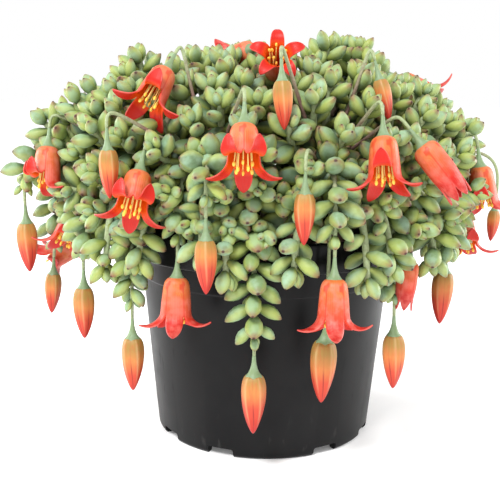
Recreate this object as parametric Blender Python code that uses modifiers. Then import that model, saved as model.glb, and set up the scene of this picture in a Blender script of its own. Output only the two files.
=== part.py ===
"""A potted cotyledon: a trailing succulent with plump leaf pairs, hanging bell flowers and buds.

The plant fills a plain nursery pot. Each branch is one closed body: a woody foot in the soil, a dense
heart, and leafy shoots that stand out of the heart, some of which end in a flower cup. The corollas and
the stamens are bodies of their own, seated just under their cups. The origin is on the surface that the
pot stands on, under its centre. Azimuth 0 is the front (-Y), and azimuths grow towards +X.
"""

import math
import random
from typing import NamedTuple

import bmesh
import bpy
from mathutils import Matrix, Vector
from mathutils.bvhtree import BVHTree

MM = 0.001
GAP = 0.3 * MM
SEED = 7

# Pot
POT_HEIGHT = 107.0 * MM
POT_STEPS = 32
WALL = 1.5 * MM
FOOT_RADIUS = 54.0 * MM
FOOT_ROUND = 1.4 * MM
FOOT_INNER_RADIUS = 50.6 * MM
BODY_FOOT_RADIUS = 55.3 * MM
BODY_TOP_RADIUS = 62.9 * MM
BODY_TOP = 80.6 * MM
BAND_STEP = 1.0 * MM
BAND_TOP_RADIUS = 65.0 * MM
COLLAR_BOTTOM = 92.8 * MM
COLLAR_RADIUS = 70.1 * MM
RIM_RADIUS = 71.0 * MM
RIM_ROUND = 0.8 * MM
FLOOR_BOTTOM = 4.5 * MM
FLOOR_TOP = 6.0 * MM
NOTCH_AZIMUTHS = (-57.5, -22.5, 32.5, 67.5, 122.5, 157.5, 212.5, 247.5)
NOTCH_WIDTH = 13.4 * MM
NOTCH_HEIGHT = 4.1 * MM
NOTCH_DEPTH = 17.0 * MM
DRAIN_REACH = 43.0 * MM
DRAIN_RADIUS = 3.5 * MM
DRAIN_SIDES = 6

# Soil
SOIL_TOP = 91.5 * MM
SOIL_STEPS = 16
SOIL_SIDE_GAP = 0.9 * MM
FOOT_DEPTH = 18.0 * MM

# Crown: a flattened dome through the tips of the shoots
CROWN_WIDTH = 106.0 * MM
CROWN_DEPTH = 86.0 * MM
CROWN_RISE = 58.0 * MM
CROWN_MIDDLE = 131.0 * MM
CROWN_SQUARENESS = 0.87
LOWEST_ELEVATION = -17.0
GOLDEN_ANGLE = 137.508
SHOOTS = 60

# Hearts: the dense middle of each branch
OUTER_HEARTS = 8
INNER_HEARTS = 4
OUTER_HEART_REACH = 57.0 * MM
INNER_HEART_REACH = 19.0 * MM
OUTER_HEART_HEIGHT = 138.0 * MM
INNER_HEART_HEIGHT = 146.0 * MM
OUTER_HEART_SIZE = (20.0 * MM, 23.0 * MM, 27.5 * MM)
INNER_HEART_SIZE = (13.0 * MM, 15.0 * MM, 31.0 * MM)
HEART_STRETCH = (1.12, 0.92)
WOOD_RADIUS = 3.0 * MM
WOOD_LEAN = 0.58

# Shoots and leaves. A leaf has one section, a rectangle at the middle of its length, and a point.
# Each pair of a rosette is (distance from the shoot's tip, opening, size).
SHOOT_ROOT_RADIUS = 2.4 * MM
SHOOT_TIP_RADIUS = 1.5 * MM
LEAF_LENGTH = 13.0 * MM
LEAF_HALF_WIDTH = 4.0 * MM
LEAF_HALF_THICKNESS = 3.0 * MM
LEAF_MIDDLE = 0.5
LEAF_FOOT = 1.2 * MM
LEAF_ROOT = 0.7
LEAF_CLEARANCE = 0.36 * MM
LEAF_SPACING = 8.6 * MM
ROSETTE = ((1.3 * MM, 25.0, 0.72), (6.2 * MM, 56.0, 0.94), (13.0 * MM, 72.0, 1.0))
TRAIL_LEAF_OPENING = 58.0
YOUNG_LEAF_SIZE = 0.82
SHOOT_SWING = 4.0
SHOOT_SHORTENING = 0.06
SHOOT_LIFT = 0.35
SHOOT_STRAIGHT = 16.0 * MM
POT_CLEARANCE = 0.9 * MM

SHOOT_POINTS = 13

# Rings along a shoot, a bare stalk and a trailing stalk, as parts of the length. A ring gives way to a
# joint that is nearer than its spare, in leaf feet.
SHOOT_STOPS = (0.0, 1.0)
STALK_STOPS = (0.0, 0.45, 0.78, 1.0)
TRAIL_STOPS = (0.0, 0.28, 0.5, 1.0)
RING_SPARE = 2.5
NEAR = 0.01 * MM

# Flower stalks: they leave the heart outwards, arch up, and come down straight over the flower
ARCH_OUT = 0.9
ARCH_RISE = 0.75
ARCH_CLEARANCE = 9.0 * MM
STRAIGHT_END = 13.0 * MM
STRAIGHT_SHARE = 0.6
STALK_POINTS = 25

# Cups and flowers
STALK_RADIUS = 1.6 * MM
BARE_STALK_RADIUS = 0.9 * MM
PEDICEL_RADIUS = 0.75 * MM
CUP_LENGTH = 8.6 * MM
CUP_RADIUS = 3.3 * MM
BELL_SIDES = 10
BELL_TOP_RADIUS = 5.4 * MM
BELL_MOUTH_RADIUS = 6.8 * MM
BELL_LENGTH = 16.0 * MM
PETAL_THICKNESS = 0.9 * MM
LOBE_REACH = 8.8 * MM
LOBE_DROP = 4.2 * MM
LOBE_SHOULDER = 0.45
LOBE_SHOULDER_WIDTH = 0.86
LOBE_EDGE_RISE = 0.3 * MM
LOBE_TIP_DROP = 3.4 * MM
BUD_LENGTH = 25.0 * MM
BUD_RADIUS = 5.5 * MM
BUD_SHOULDER = 0.3
BUD_TOP_FULLNESS = 0.84
BUD_TAPER = 0.8
HALF_OPEN_SCALE = 1.1
STAMEN_LENGTH = 17.5 * MM
STAMEN_RADIUS = 1.7 * MM
ANTHER_RADIUS = 3.3 * MM
FILAMENT_END = 0.74
ANTHERS_WIDEST = 0.92
FILAMENT_ROOT = 0.7


class Flower(NamedTuple):
    """A flower by the place of its corolla's top, in degrees and millimetres, and how it hangs."""

    kind: str
    azimuth: float
    reach: float
    height: float
    lean: float
    lean_azimuth: float
    bare: float
    pairs: int
    spin: float = 0.0
    size: float = 1.0


# The front and the sides. A lean of 0 hangs straight down, and 90 points level to the lean azimuth.
SHOWN_FLOWERS = (
    Flower("bell", -6.5, 96, 160, 20, 0, 26, 0, 36),
    Flower("bell", 28.5, 96, 155, 18, 5, 22, 0, -15),
    Flower("bell", -35.5, 94, 139, 24, -25, 24, 0, 40),
    Flower("bell", -39, 72, 181, 40, -35, 16, 0, 0),
    Flower("bell", -76, 108, 145, 16, -5, 22, 0, -30),
    Flower("bell", -28, 84, 93, 7, -10, 23, 2, 0),
    Flower("bell", 16.5, 95, 97, 7, 0, 22, 2, 0),
    Flower("bell", 4, 40, 180, 118, 0, 14, 0, 0),
    Flower("bell", -60, 10, 192, 75, -150, 12, 0, 20),
    Flower("bell", 99, 68, 179, 60, 82, 16, 0, 0),
    Flower("bell", 84, 98, 113, 12, 60, 22, 1, 10),
    Flower("bell", 77, 105, 138, 10, 60, 18, 0, -20),
    Flower("bell", -100, 103, 89, 64, -112, 20, 1, 0),
    Flower("bell", -87, 96, 112, 25, -60, 16, 0, 0),
    Flower("half", 40, 99, 151, 40, 72, 14, 0),
    Flower("half", 48, 86, 98, 8, -50, 24, 1, 0, 0.82),
    Flower("bud", -40.5, 104, 148, 2, 60, 16, 0, 0, 0.8),
    Flower("bud", -87, 122, 105, 2, 90, 28, 1),
    Flower("bud", -93, 112, 76, 4, -90, 22, 2, 0, 0.85),
    Flower("bud", -72, 93.5, 77, 2, 0, 20, 3),
    Flower("bud", -48, 83, 60, 1, 0, 27, 3),
    Flower("bud", -15.5, 97, 113, 3, 10, 18, 1, 0, 0.88),
    Flower("bud", -4, 80, 51, 1, 0, 17, 6, 0, 1.05),
    Flower("bud", 3, 81, 177, 4, 60, 12, 0, 0, 0.78),
    Flower("bud", 8, 98, 133, 2, 0, 14, 0, 0, 0.82),
    Flower("bud", 43.5, 70, 178, 17, 60, 14, 0, 0, 0.72),
    Flower("bud", 19, 78, 65, 2, -60, 30, 0, 0, 1.11),
    Flower("bud", 44.5, 83, 64, 2, 40, 28, 3),
    Flower("bud", 68.5, 92, 88, 3, -60, 24, 2),
    Flower("bud", 98, 123.6, 111, 5, -60, 20, 0, 0, 0.65),
)

# The back: a rule gives bells and buds by turns, high and low, each as reach, height, lean, bare end
# and leaf pairs, with heights that swing as the row goes round
HIDDEN_FLOWERS = 9
HIDDEN_FROM = 118.0
HIDDEN_STEP = 15.5
HIDDEN_HIGH = (98.0, 150.0, 14.0, 20.0, 0)
HIDDEN_LOW = (88.0, 92.0, 4.0, 22.0, 2)
HIDDEN_SWING = 9.0
HIDDEN_TURN = 2.1

# How many bells have their stamens in a node of their own
STAMEN_NODES = 7

# Base colour and roughness of each kind of piece
COLOURS = {
    "pot": ((0.012, 0.012, 0.013, 1.0), 0.42),
    "soil": ((0.045, 0.03, 0.02, 1.0), 0.95),
    "branch": ((0.26, 0.38, 0.24, 1.0), 0.6),
    "bell": ((0.72, 0.09, 0.04, 1.0), 0.5),
    "bud": ((0.66, 0.2, 0.07, 1.0), 0.5),
    "stamens": ((0.85, 0.55, 0.05, 1.0), 0.6),
}


def clear_scene():
    """Empty the scene of the objects that it opened with."""
    for thing in list(bpy.data.objects):
        bpy.data.objects.remove(thing, do_unlink=True)


def new_collection(name):
    """A collection in the scene, by that name."""
    collection = bpy.data.collections.new(name)
    bpy.context.scene.collection.children.link(collection)
    return collection


def new_object(name, mesh, collection):
    """An object for a mesh, in a collection."""
    thing = bpy.data.objects.new(name, mesh)
    collection.objects.link(thing)
    return thing


def finish_object(thing, kind):
    """Give an object its own Principled material."""
    colour, roughness = COLOURS[kind]
    stuff = bpy.data.materials.new(thing.name)
    stuff.use_nodes = True
    shader = stuff.node_tree.nodes["Principled BSDF"]
    shader.inputs["Base Color"].default_value = colour
    shader.inputs["Roughness"].default_value = roughness
    shader.inputs["Metallic"].default_value = 0.0
    thing.data.materials.clear()
    thing.data.materials.append(stuff)


def mesh_from(bm, name):
    """Turn a bmesh into a mesh and free it."""
    mesh = bpy.data.meshes.new(name)
    bm.to_mesh(mesh)
    bm.free()
    return mesh


def evaluated_mesh(thing, name):
    """A new mesh of an object as its modifiers leave it."""
    bpy.context.view_layer.update()
    depsgraph = bpy.context.evaluated_depsgraph_get()
    mesh = bpy.data.meshes.new_from_object(thing.evaluated_get(depsgraph))
    mesh.name = name
    return mesh


def outward(azimuth):
    """The level unit vector at an azimuth."""
    turn = math.radians(azimuth)
    return Vector((math.sin(turn), -math.cos(turn), 0.0))


def place(azimuth, reach, height):
    """A point by its azimuth, its distance from the pot's axis and its height."""
    return outward(azimuth) * reach + Vector((0.0, 0.0, height))


def signed_power(value, power):
    """A power that keeps the value's sign."""
    return math.copysign(abs(value) ** power, value)


def crown_point(azimuth, elevation):
    """A point of the flattened dome that the tips of the shoots lie on."""
    turn = math.radians(azimuth)
    rise = math.radians(elevation)
    level = math.cos(rise) ** CROWN_SQUARENESS
    return Vector((
        CROWN_WIDTH * level * math.sin(turn),
        -CROWN_DEPTH * level * math.cos(turn),
        CROWN_MIDDLE + CROWN_RISE * signed_power(math.sin(rise), CROWN_SQUARENESS),
    ))


def crown_normal(point):
    """The direction that the dome faces at a point on it."""
    return Vector((
        point.x / CROWN_WIDTH ** 2,
        point.y / CROWN_DEPTH ** 2,
        (point.z - CROWN_MIDDLE) / CROWN_RISE ** 2,
    )).normalized()


def even_elevations(count):
    """Elevations that share out the dome's surface, from its lower edge up to its top."""
    steps = 200
    low = LOWEST_ELEVATION
    samples = [low + (90.0 - low) * step / steps for step in range(steps + 1)]
    areas = [0.0]
    for before, after in zip(samples, samples[1:]):
        lower = (crown_point(0.0, before) + crown_point(90.0, before)) / 2
        upper = (crown_point(0.0, after) + crown_point(90.0, after)) / 2
        reach = math.hypot(upper.x, upper.y)
        areas.append(areas[-1] + reach * (upper - lower).length)
    elevations = []
    for index in range(count):
        wanted = areas[-1] * (index + 0.5) / count
        place_in = max(step for step in range(steps) if areas[step] <= wanted)
        share = (wanted - areas[place_in]) / (areas[place_in + 1] - areas[place_in])
        elevations.append(samples[place_in] + (samples[place_in + 1] - samples[place_in]) * share)
    return elevations


def bezier(start, first, last, end, count):
    """Points along a cubic curve, evenly in its parameter."""
    points = []
    for step in range(count):
        t = step / (count - 1)
        u = 1.0 - t
        points.append(start * u ** 3 + first * 3 * u * u * t + last * 3 * u * t * t + end * t ** 3)
    return points


def revolve(name, profile, steps, collection):
    """A turned solid from a profile in the XZ plane."""
    mesh = bpy.data.meshes.new(name)
    corners = [(x, 0.0, z) for x, z in profile]
    edges = [(index, index + 1) for index in range(len(corners) - 1)]
    mesh.from_pydata(corners, edges, [])
    thing = new_object(name, mesh, collection)
    screw = thing.modifiers.new("turn", "SCREW")
    screw.angle = 2 * math.pi
    screw.steps = steps
    screw.render_steps = steps
    screw.use_merge_vertices = True
    screw.merge_threshold = 0.00001
    return thing


def inner_radius(height):
    """The radius of the pot's inner wall below the band."""
    slope = (BODY_TOP_RADIUS - BODY_FOOT_RADIUS) / (BODY_TOP - FOOT_ROUND)
    return BODY_FOOT_RADIUS + slope * (height - FOOT_ROUND) - WALL


def pot_profile():
    """The pot's section: floor, inner wall, rim, outer wall, foot ring and underside."""
    band_foot_radius = BODY_TOP_RADIUS + BAND_STEP
    ledge = COLLAR_BOTTOM + WALL
    inner = [
        (0.0, FLOOR_TOP),
        (inner_radius(FLOOR_TOP) - WALL, FLOOR_TOP),
        (inner_radius(FLOOR_TOP + WALL), FLOOR_TOP + WALL),
        (inner_radius(BODY_TOP), BODY_TOP),
        (band_foot_radius - WALL, BODY_TOP + WALL),
        (BAND_TOP_RADIUS - WALL, ledge),
        (COLLAR_RADIUS - WALL, ledge + WALL),
        (RIM_RADIUS - 2 * RIM_ROUND - WALL / 3, POT_HEIGHT - RIM_ROUND),
        (RIM_RADIUS - 1.5 * RIM_ROUND - WALL / 3, POT_HEIGHT),
    ]
    outer = [
        (RIM_RADIUS - RIM_ROUND, POT_HEIGHT),
        (RIM_RADIUS, POT_HEIGHT - RIM_ROUND),
        (COLLAR_RADIUS + RIM_ROUND / 2, COLLAR_BOTTOM + RIM_ROUND),
        (COLLAR_RADIUS, COLLAR_BOTTOM),
        (BAND_TOP_RADIUS, COLLAR_BOTTOM - RIM_ROUND),
        (band_foot_radius, BODY_TOP + RIM_ROUND),
        (BODY_TOP_RADIUS, BODY_TOP),
        (BODY_FOOT_RADIUS, FOOT_ROUND),
        (FOOT_RADIUS, 0.0),
        (FOOT_INNER_RADIUS, 0.0),
        (FOOT_INNER_RADIUS - RIM_ROUND, FLOOR_BOTTOM),
        (0.0, FLOOR_BOTTOM),
    ]
    return inner + outer


def cut(thing, cutters):
    """Cut a collection of closed cutters out of an object."""
    boolean = thing.modifiers.new("cut", "BOOLEAN")
    boolean.operation = "DIFFERENCE"
    boolean.operand_type = "COLLECTION"
    boolean.collection = cutters
    boolean.solver = "EXACT"


def hide_cutter(thing):
    """Keep a cutter out of the built object."""
    thing.hide_render = True
    thing.display_type = "WIRE"


def notch_cutter(azimuth, cutters):
    """A box across the foot ring."""
    bpy.ops.mesh.primitive_cube_add(size=1.0)
    thing = bpy.context.active_object
    thing.name = "foot_notch"
    thing.scale = (NOTCH_WIDTH, NOTCH_DEPTH, 2 * NOTCH_HEIGHT)
    thing.rotation_euler = (0.0, 0.0, math.radians(azimuth))
    thing.location = outward(azimuth) * (FOOT_RADIUS + FOOT_INNER_RADIUS) / 2
    move_to(thing, cutters)


def drain_cutter(azimuth, cutters):
    """A round hole through the floor, behind a notch."""
    bpy.ops.mesh.primitive_cylinder_add(vertices=DRAIN_SIDES, radius=DRAIN_RADIUS, depth=4 * WALL)
    thing = bpy.context.active_object
    thing.name = "drain_hole"
    thing.location = place(azimuth, DRAIN_REACH, (FLOOR_BOTTOM + FLOOR_TOP) / 2)
    move_to(thing, cutters)


def move_to(thing, collection):
    """Take a new primitive from the scene's active collection into another one as a cutter."""
    for home in list(thing.users_collection):
        home.objects.unlink(thing)
    collection.objects.link(thing)
    hide_cutter(thing)


def build_pot(collection):
    """The nursery pot, with its foot notches and drain holes."""
    pot = revolve("pot", pot_profile(), POT_STEPS, collection)
    cutters = new_collection("pot_cutters")
    for azimuth in NOTCH_AZIMUTHS:
        notch_cutter(azimuth, cutters)
        drain_cutter(azimuth, cutters)
    cut(pot, cutters)
    finish_object(pot, "pot")
    return pot


def build_soil(collection, feet):
    """The soil that fills the pot, with a plain hole for each branch's woody foot."""
    low = FLOOR_TOP + GAP
    profile = [
        (0.0, SOIL_TOP),
        (BAND_TOP_RADIUS - WALL - SOIL_SIDE_GAP, SOIL_TOP),
        (BODY_TOP_RADIUS + BAND_STEP - WALL - SOIL_SIDE_GAP, BODY_TOP + WALL + GAP),
        (inner_radius(BODY_TOP) - GAP, BODY_TOP),
        (inner_radius(FLOOR_TOP + WALL) - 2 * GAP, FLOOR_TOP + WALL),
        (inner_radius(FLOOR_TOP) - WALL - GAP, low),
        (0.0, low),
    ]
    soil = revolve("soil", profile, SOIL_STEPS, collection)
    cutters = new_collection("soil_cutters")
    for foot in feet:
        bpy.ops.mesh.primitive_cylinder_add(
            vertices=6, radius=WOOD_RADIUS + SOIL_SIDE_GAP, depth=2 * FOOT_DEPTH
        )
        hole = bpy.context.active_object
        hole.name = "foot_hole"
        hole.location = (foot.x, foot.y, SOIL_TOP)
        move_to(hole, cutters)
    cut(soil, cutters)
    finish_object(soil, "soil")
    return soil


class Heart(NamedTuple):
    """The dense middle of a branch: its centre, its half sizes and its own azimuth."""

    centre: Vector
    sizes: tuple
    azimuth: float


def stretch(point):
    """Widen a level position to the crown's oval."""
    return Vector((point.x * HEART_STRETCH[0], point.y * HEART_STRETCH[1], point.z))


def make_hearts():
    """Eight hearts in a ring and four in the middle, by turns, so that none touches another."""
    hearts = []
    for index in range(OUTER_HEARTS):
        azimuth = (index + 0.5) * 360.0 / OUTER_HEARTS
        centre = stretch(place(azimuth, OUTER_HEART_REACH, OUTER_HEART_HEIGHT))
        hearts.append(Heart(centre, OUTER_HEART_SIZE, azimuth))
    for index in range(INNER_HEARTS):
        azimuth = index * 360.0 / INNER_HEARTS
        centre = stretch(place(azimuth, INNER_HEART_REACH, INNER_HEART_HEIGHT))
        hearts.append(Heart(centre, INNER_HEART_SIZE, azimuth))
    return hearts


def heart_mesh(heart):
    """A faceted oval: its half sizes are tangential, radial and upright."""
    bm = bmesh.new()
    bmesh.ops.create_uvsphere(bm, u_segments=8, v_segments=4, radius=1.0)
    shape = (
        Matrix.Translation(heart.centre)
        @ Matrix.Rotation(math.radians(heart.azimuth), 4, "Z")
        @ Matrix.Diagonal((*heart.sizes, 1.0))
    )
    bmesh.ops.transform(bm, matrix=shape, verts=bm.verts)
    return mesh_from(bm, "heart")


def inside_heart(point, heart):
    """Whether a point lies in a heart, with the gap that touching bodies keep."""
    local = Matrix.Rotation(-math.radians(heart.azimuth), 3, "Z") @ (point - heart.centre)
    total = sum((local[axis] / (heart.sizes[axis] + GAP)) ** 2 for axis in range(3))
    return total < 1.0


def wood_foot(heart):
    """The point where a branch's woody foot leaves the soil."""
    return Vector((heart.centre.x * WOOD_LEAN, heart.centre.y * WOOD_LEAN, SOIL_TOP))


def length_of(points):
    """The length of a chain of points."""
    return sum((b - a).length for a, b in zip(points, points[1:]))


def point_from_tip(points, distance):
    """The point of a chain that lies a distance before its end, and the direction towards the end."""
    left = distance
    for end, start in zip(reversed(points), reversed(points[:-1])):
        span = (end - start).length
        if left <= span:
            return end + (start - end) * left / span, (end - start).normalized()
        left -= span
    return points[0], (points[1] - points[0]).normalized()


class Joint(NamedTuple):
    """Where a stem carries a pair of opposite leaves: how far from its tip, how open and how large."""

    distance: float
    opening: float
    size: float
    quarter: int


class Ring(NamedTuple):
    """A cross-section of a stem."""

    distance: float
    centre: Vector
    along: Vector
    side: Vector
    radius: float


class Leaf(NamedTuple):
    """A leaf before it is grown: the stem face that it rises from, and its axes."""

    joint: int
    face: int
    root: Vector
    direction: Vector
    across: Vector
    size: float


class Stem:
    """A tapered stem as a loft of rings, whose side faces are raised into leaves at its joints."""

    def __init__(self, path, radii, sides, stops, joints=(), twist=0.0):
        self.path = path
        self.radii = radii
        self.sides = sides
        self.joints = joints
        self.total = length_of(path)
        self.rings = self.make_rings(stops, twist)
        self.grown = {}

    def make_rings(self, stops, twist):
        """The rings from root to tip: at the stops, given as parts of the length, and round each joint."""
        half = {joint: LEAF_FOOT * joint.size for joint in self.joints}
        distances = {self.total * (1.0 - stop) for stop in stops}
        for joint, reach in half.items():
            distances = {d for d in distances if abs(d - joint.distance) > RING_SPARE * reach or d == 0.0}
        for joint, reach in half.items():
            distances |= {joint.distance - reach, joint.distance + reach}
        rings = []
        side = None
        for distance in sorted(distances, reverse=True):
            centre, along = point_from_tip(self.path, distance)
            if side is None:
                reference = Vector((0.0, 0.0, 1.0)) if abs(along.z) < 0.8 else Vector((1.0, 0.0, 0.0))
                side = Matrix.Rotation(twist, 3, along) @ along.cross(reference).normalized()
            side = (side - along * side.dot(along)).normalized()
            share = 1.0 - distance / self.total
            radius = self.radii[0] + (self.radii[1] - self.radii[0]) * share
            rings.append(Ring(distance, centre, along, side, radius))
        return rings

    def leaves(self):
        """Every leaf that the joints could carry."""
        found = []
        for number, joint in enumerate(self.joints):
            lower = joint.distance + LEAF_FOOT * joint.size
            ring = min(self.rings, key=lambda each: abs(each.distance - lower))
            root, along = point_from_tip(self.path, joint.distance)
            lean = math.radians(joint.opening)
            for face in ((3, 1), (0, 2))[joint.quarter % 2]:
                turn = Matrix.Rotation((face + 1) * math.pi / 2, 3, ring.along)
                out = turn @ ring.side
                direction = along * math.cos(lean) + out * math.sin(lean)
                start = root + out * ring.radius * LEAF_ROOT
                across = along.cross(out).normalized()
                found.append(Leaf(number, face, start, direction, across, joint.size))
        return found

    def grow(self, leaf):
        """Accept a leaf."""
        self.grown[(leaf.joint, leaf.face)] = leaf

    def mesh(self, cup=None):
        """The closed mesh of the stem and its leaves, and of a cup that widens from its tip."""
        bm = bmesh.new()
        loops = [self.loop(bm, ring) for ring in self.rings]
        if cup is not None:
            loops.append([bm.verts.new(corner) for corner in cup.rim(self.rings[-1], self.sides)])
        bm.faces.new(list(reversed(loops[0])))
        bm.faces.new(loops[-1])
        for number, (lower, upper) in enumerate(zip(loops, loops[1:])):
            for face in range(self.sides):
                after = (face + 1) % self.sides
                corners = [lower[face], lower[after], upper[after], upper[face]]
                leaf = self.leaf_on(number, face)
                if leaf is None:
                    bm.faces.new(corners)
                else:
                    raise_leaf(bm, corners, leaf)
        bmesh.ops.recalc_face_normals(bm, faces=bm.faces)
        return mesh_from(bm, "stem")

    def loop(self, bm, ring):
        """The vertices of one ring."""
        turn = math.tau / self.sides
        corners = []
        for index in range(self.sides):
            angle = turn * (index + 0.5)
            level = Matrix.Rotation(angle, 3, ring.along) @ ring.side
            corners.append(bm.verts.new(ring.centre + level * ring.radius))
        return corners

    def leaf_on(self, number, face):
        """The accepted leaf that rises from the face above a ring, if there is one."""
        if number + 1 >= len(self.rings):
            return None
        middle = (self.rings[number].distance + self.rings[number + 1].distance) / 2
        for (joint, side), leaf in self.grown.items():
            if side == face and abs(self.joints[joint].distance - middle) < NEAR:
                return leaf
        return None


def leaf_section(leaf, extra=0.0):
    """A leaf's middle, its half width and half thickness there, and its tip; extra grows it all round."""
    thick = leaf.direction.cross(leaf.across).normalized()
    middle = leaf.root + leaf.direction * LEAF_LENGTH * leaf.size * LEAF_MIDDLE
    wide = leaf.across * (LEAF_HALF_WIDTH * leaf.size + extra)
    deep = thick * (LEAF_HALF_THICKNESS * leaf.size + extra)
    tip = leaf.root + leaf.direction * (LEAF_LENGTH * leaf.size + extra)
    return middle, wide, deep, tip


def raise_leaf(bm, corners, leaf):
    """Raise a leaf from four corners of a stem's face: it swells to its middle and draws to its tip."""
    foot = sum((corner.co for corner in corners), Vector()) / 4
    middle, wide, deep, tip = leaf_section(leaf)
    swell = []
    for corner in corners:
        offset = corner.co - foot
        right = math.copysign(1.0, offset.dot(wide))
        up = math.copysign(1.0, offset.dot(deep))
        swell.append(bm.verts.new(middle + wide * right + deep * up))
    point = bm.verts.new(tip)
    for index in range(4):
        after = (index + 1) % 4
        bm.faces.new((corners[index], corners[after], swell[after], swell[index]))
        bm.faces.new((swell[index], swell[after], point))


def leaf_outline(leaf):
    """The corners and faces of a leaf a little larger than life, to test its clearance."""
    middle, wide, deep, tip = leaf_section(leaf, LEAF_CLEARANCE)
    foot = LEAF_FOOT * leaf.size + LEAF_CLEARANCE
    sections = [(leaf.root, wide.normalized() * foot, deep.normalized() * foot), (middle, wide, deep)]
    corners = []
    for centre, right, up in sections:
        corners += [centre + right * a + up * b for a, b in ((1, 1), (-1, 1), (-1, -1), (1, -1))]
    corners.append(tip)
    faces = [(3, 2, 1, 0)]
    for index in range(4):
        after = (index + 1) % 4
        faces.append((index, after, 4 + after, 4 + index))
        faces.append((4 + index, 4 + after, 8))
    return corners, faces


class Obstacle(NamedTuple):
    """A body that others keep clear of: who owns it, its surface tree, and a ball round it."""

    owner: str
    tree: BVHTree
    centre: Vector
    radius: float


def obstacle(owner, mesh):
    """An obstacle from a mesh."""
    corners = [vertex.co.copy() for vertex in mesh.vertices]
    return body_of(owner, corners, [tuple(face.vertices) for face in mesh.polygons])


def body_of(owner, corners, faces):
    """An obstacle from its corners and faces."""
    centre = sum(corners, Vector()) / len(corners)
    radius = max((corner - centre).length for corner in corners)
    return Obstacle(owner, BVHTree.FromPolygons(corners, faces), centre, radius)


def crosses(thing, others, owner=None):
    """The first other body that a thing's surface meets, leaving out those of one owner."""
    for other in others:
        if other.owner == owner:
            continue
        if (thing.centre - other.centre).length > thing.radius + other.radius:
            continue
        if thing.tree.overlap(other.tree):
            return other
    return None


def nearest_heart(point, hearts):
    """The index of the heart that carries whatever ends at a point."""
    distances = [(point - heart.centre).length for heart in hearts]
    return distances.index(min(distances))


def hidden_flowers():
    """The flowers of the back, high and low by turns, so that the plant is finished all round."""
    flowers = []
    for index in range(HIDDEN_FLOWERS):
        azimuth = HIDDEN_FROM + index * HIDDEN_STEP
        reach, height, lean, bare, pairs = HIDDEN_HIGH if index % 2 == 0 else HIDDEN_LOW
        kind = "bell" if index % 4 in (0, 3) else "bud"
        height += HIDDEN_SWING * math.sin(index * HIDDEN_TURN)
        flowers.append(Flower(kind, azimuth, reach, height, lean, azimuth, bare, pairs))
    return flowers


def flower_axis(flower):
    """The unit vector from a corolla's top to its mouth."""
    lean = math.radians(flower.lean)
    level = outward(flower.lean_azimuth) * math.sin(lean)
    return (level - Vector((0.0, 0.0, math.cos(lean)))).normalized()


def flower_top(flower):
    """The place of a corolla's top."""
    return place(flower.azimuth, flower.reach * MM, flower.height * MM)


def flower_path(flower, heart):
    """The path of a stalk from a heart, over the foliage or the rim, down to the top of the cup."""
    axis = flower_axis(flower)
    cup_top = flower_top(flower) - axis * (CUP_LENGTH + GAP)
    start = heart.centre
    out = Vector((cup_top.x - start.x, cup_top.y - start.y, 0.0))
    rise = max(cup_top.z - start.z, 0.0)
    drop = max(start.z - cup_top.z, 0.0)
    first = start + out * ARCH_OUT + Vector((0.0, 0.0, ARCH_RISE * rise + ARCH_CLEARANCE))
    last = cup_top - axis * (STRAIGHT_END + STRAIGHT_SHARE * drop)
    return bezier(start, first, last, cup_top, STALK_POINTS)


def flower_frame(flower):
    """The matrix that hangs a flower modelled down -Z, its top at the origin and a lobe at its spin."""
    turn = Vector((0.0, 0.0, -1.0)).rotation_difference(flower_axis(flower))
    spin = math.radians(flower.spin - 90.0 - 360.0 / BELL_SIDES)
    hung = turn.to_matrix().to_4x4() @ Matrix.Rotation(spin, 4, "Z")
    return Matrix.Translation(flower_top(flower)) @ hung


def bell_surface():
    """The corolla's skin: a ten-sided tube that opens in five pointed lobes, curved outwards."""
    bm = bmesh.new()
    made = bmesh.ops.create_circle(bm, cap_ends=True, segments=BELL_SIDES, radius=BELL_TOP_RADIUS)
    cap = made["verts"][0].link_faces[0]
    if cap.normal.z < 0.0:
        cap.normal_flip()
    made = bmesh.ops.extrude_edge_only(bm, edges=bm.edges[:])
    mouth = [part for part in made["geom"] if isinstance(part, bmesh.types.BMVert)]
    edges = [part for part in made["geom"] if isinstance(part, bmesh.types.BMEdge)]
    edges = [edge for edge in edges if all(vertex in mouth for vertex in edge.verts)]
    for vertex in mouth:
        level = Vector((vertex.co.x, vertex.co.y, 0.0)).normalized() * BELL_MOUTH_RADIUS
        vertex.co = Vector((level.x, level.y, -BELL_LENGTH))
    for index in range(BELL_SIDES // 2):
        add_lobe(bm, edges, index)
    bmesh.ops.recalc_face_normals(bm, faces=bm.faces)
    if max(bm.faces, key=lambda face: face.calc_center_median().z).normal.z < 0.0:
        bmesh.ops.reverse_faces(bm, faces=bm.faces)
    return mesh_from(bm, "bell")


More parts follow.
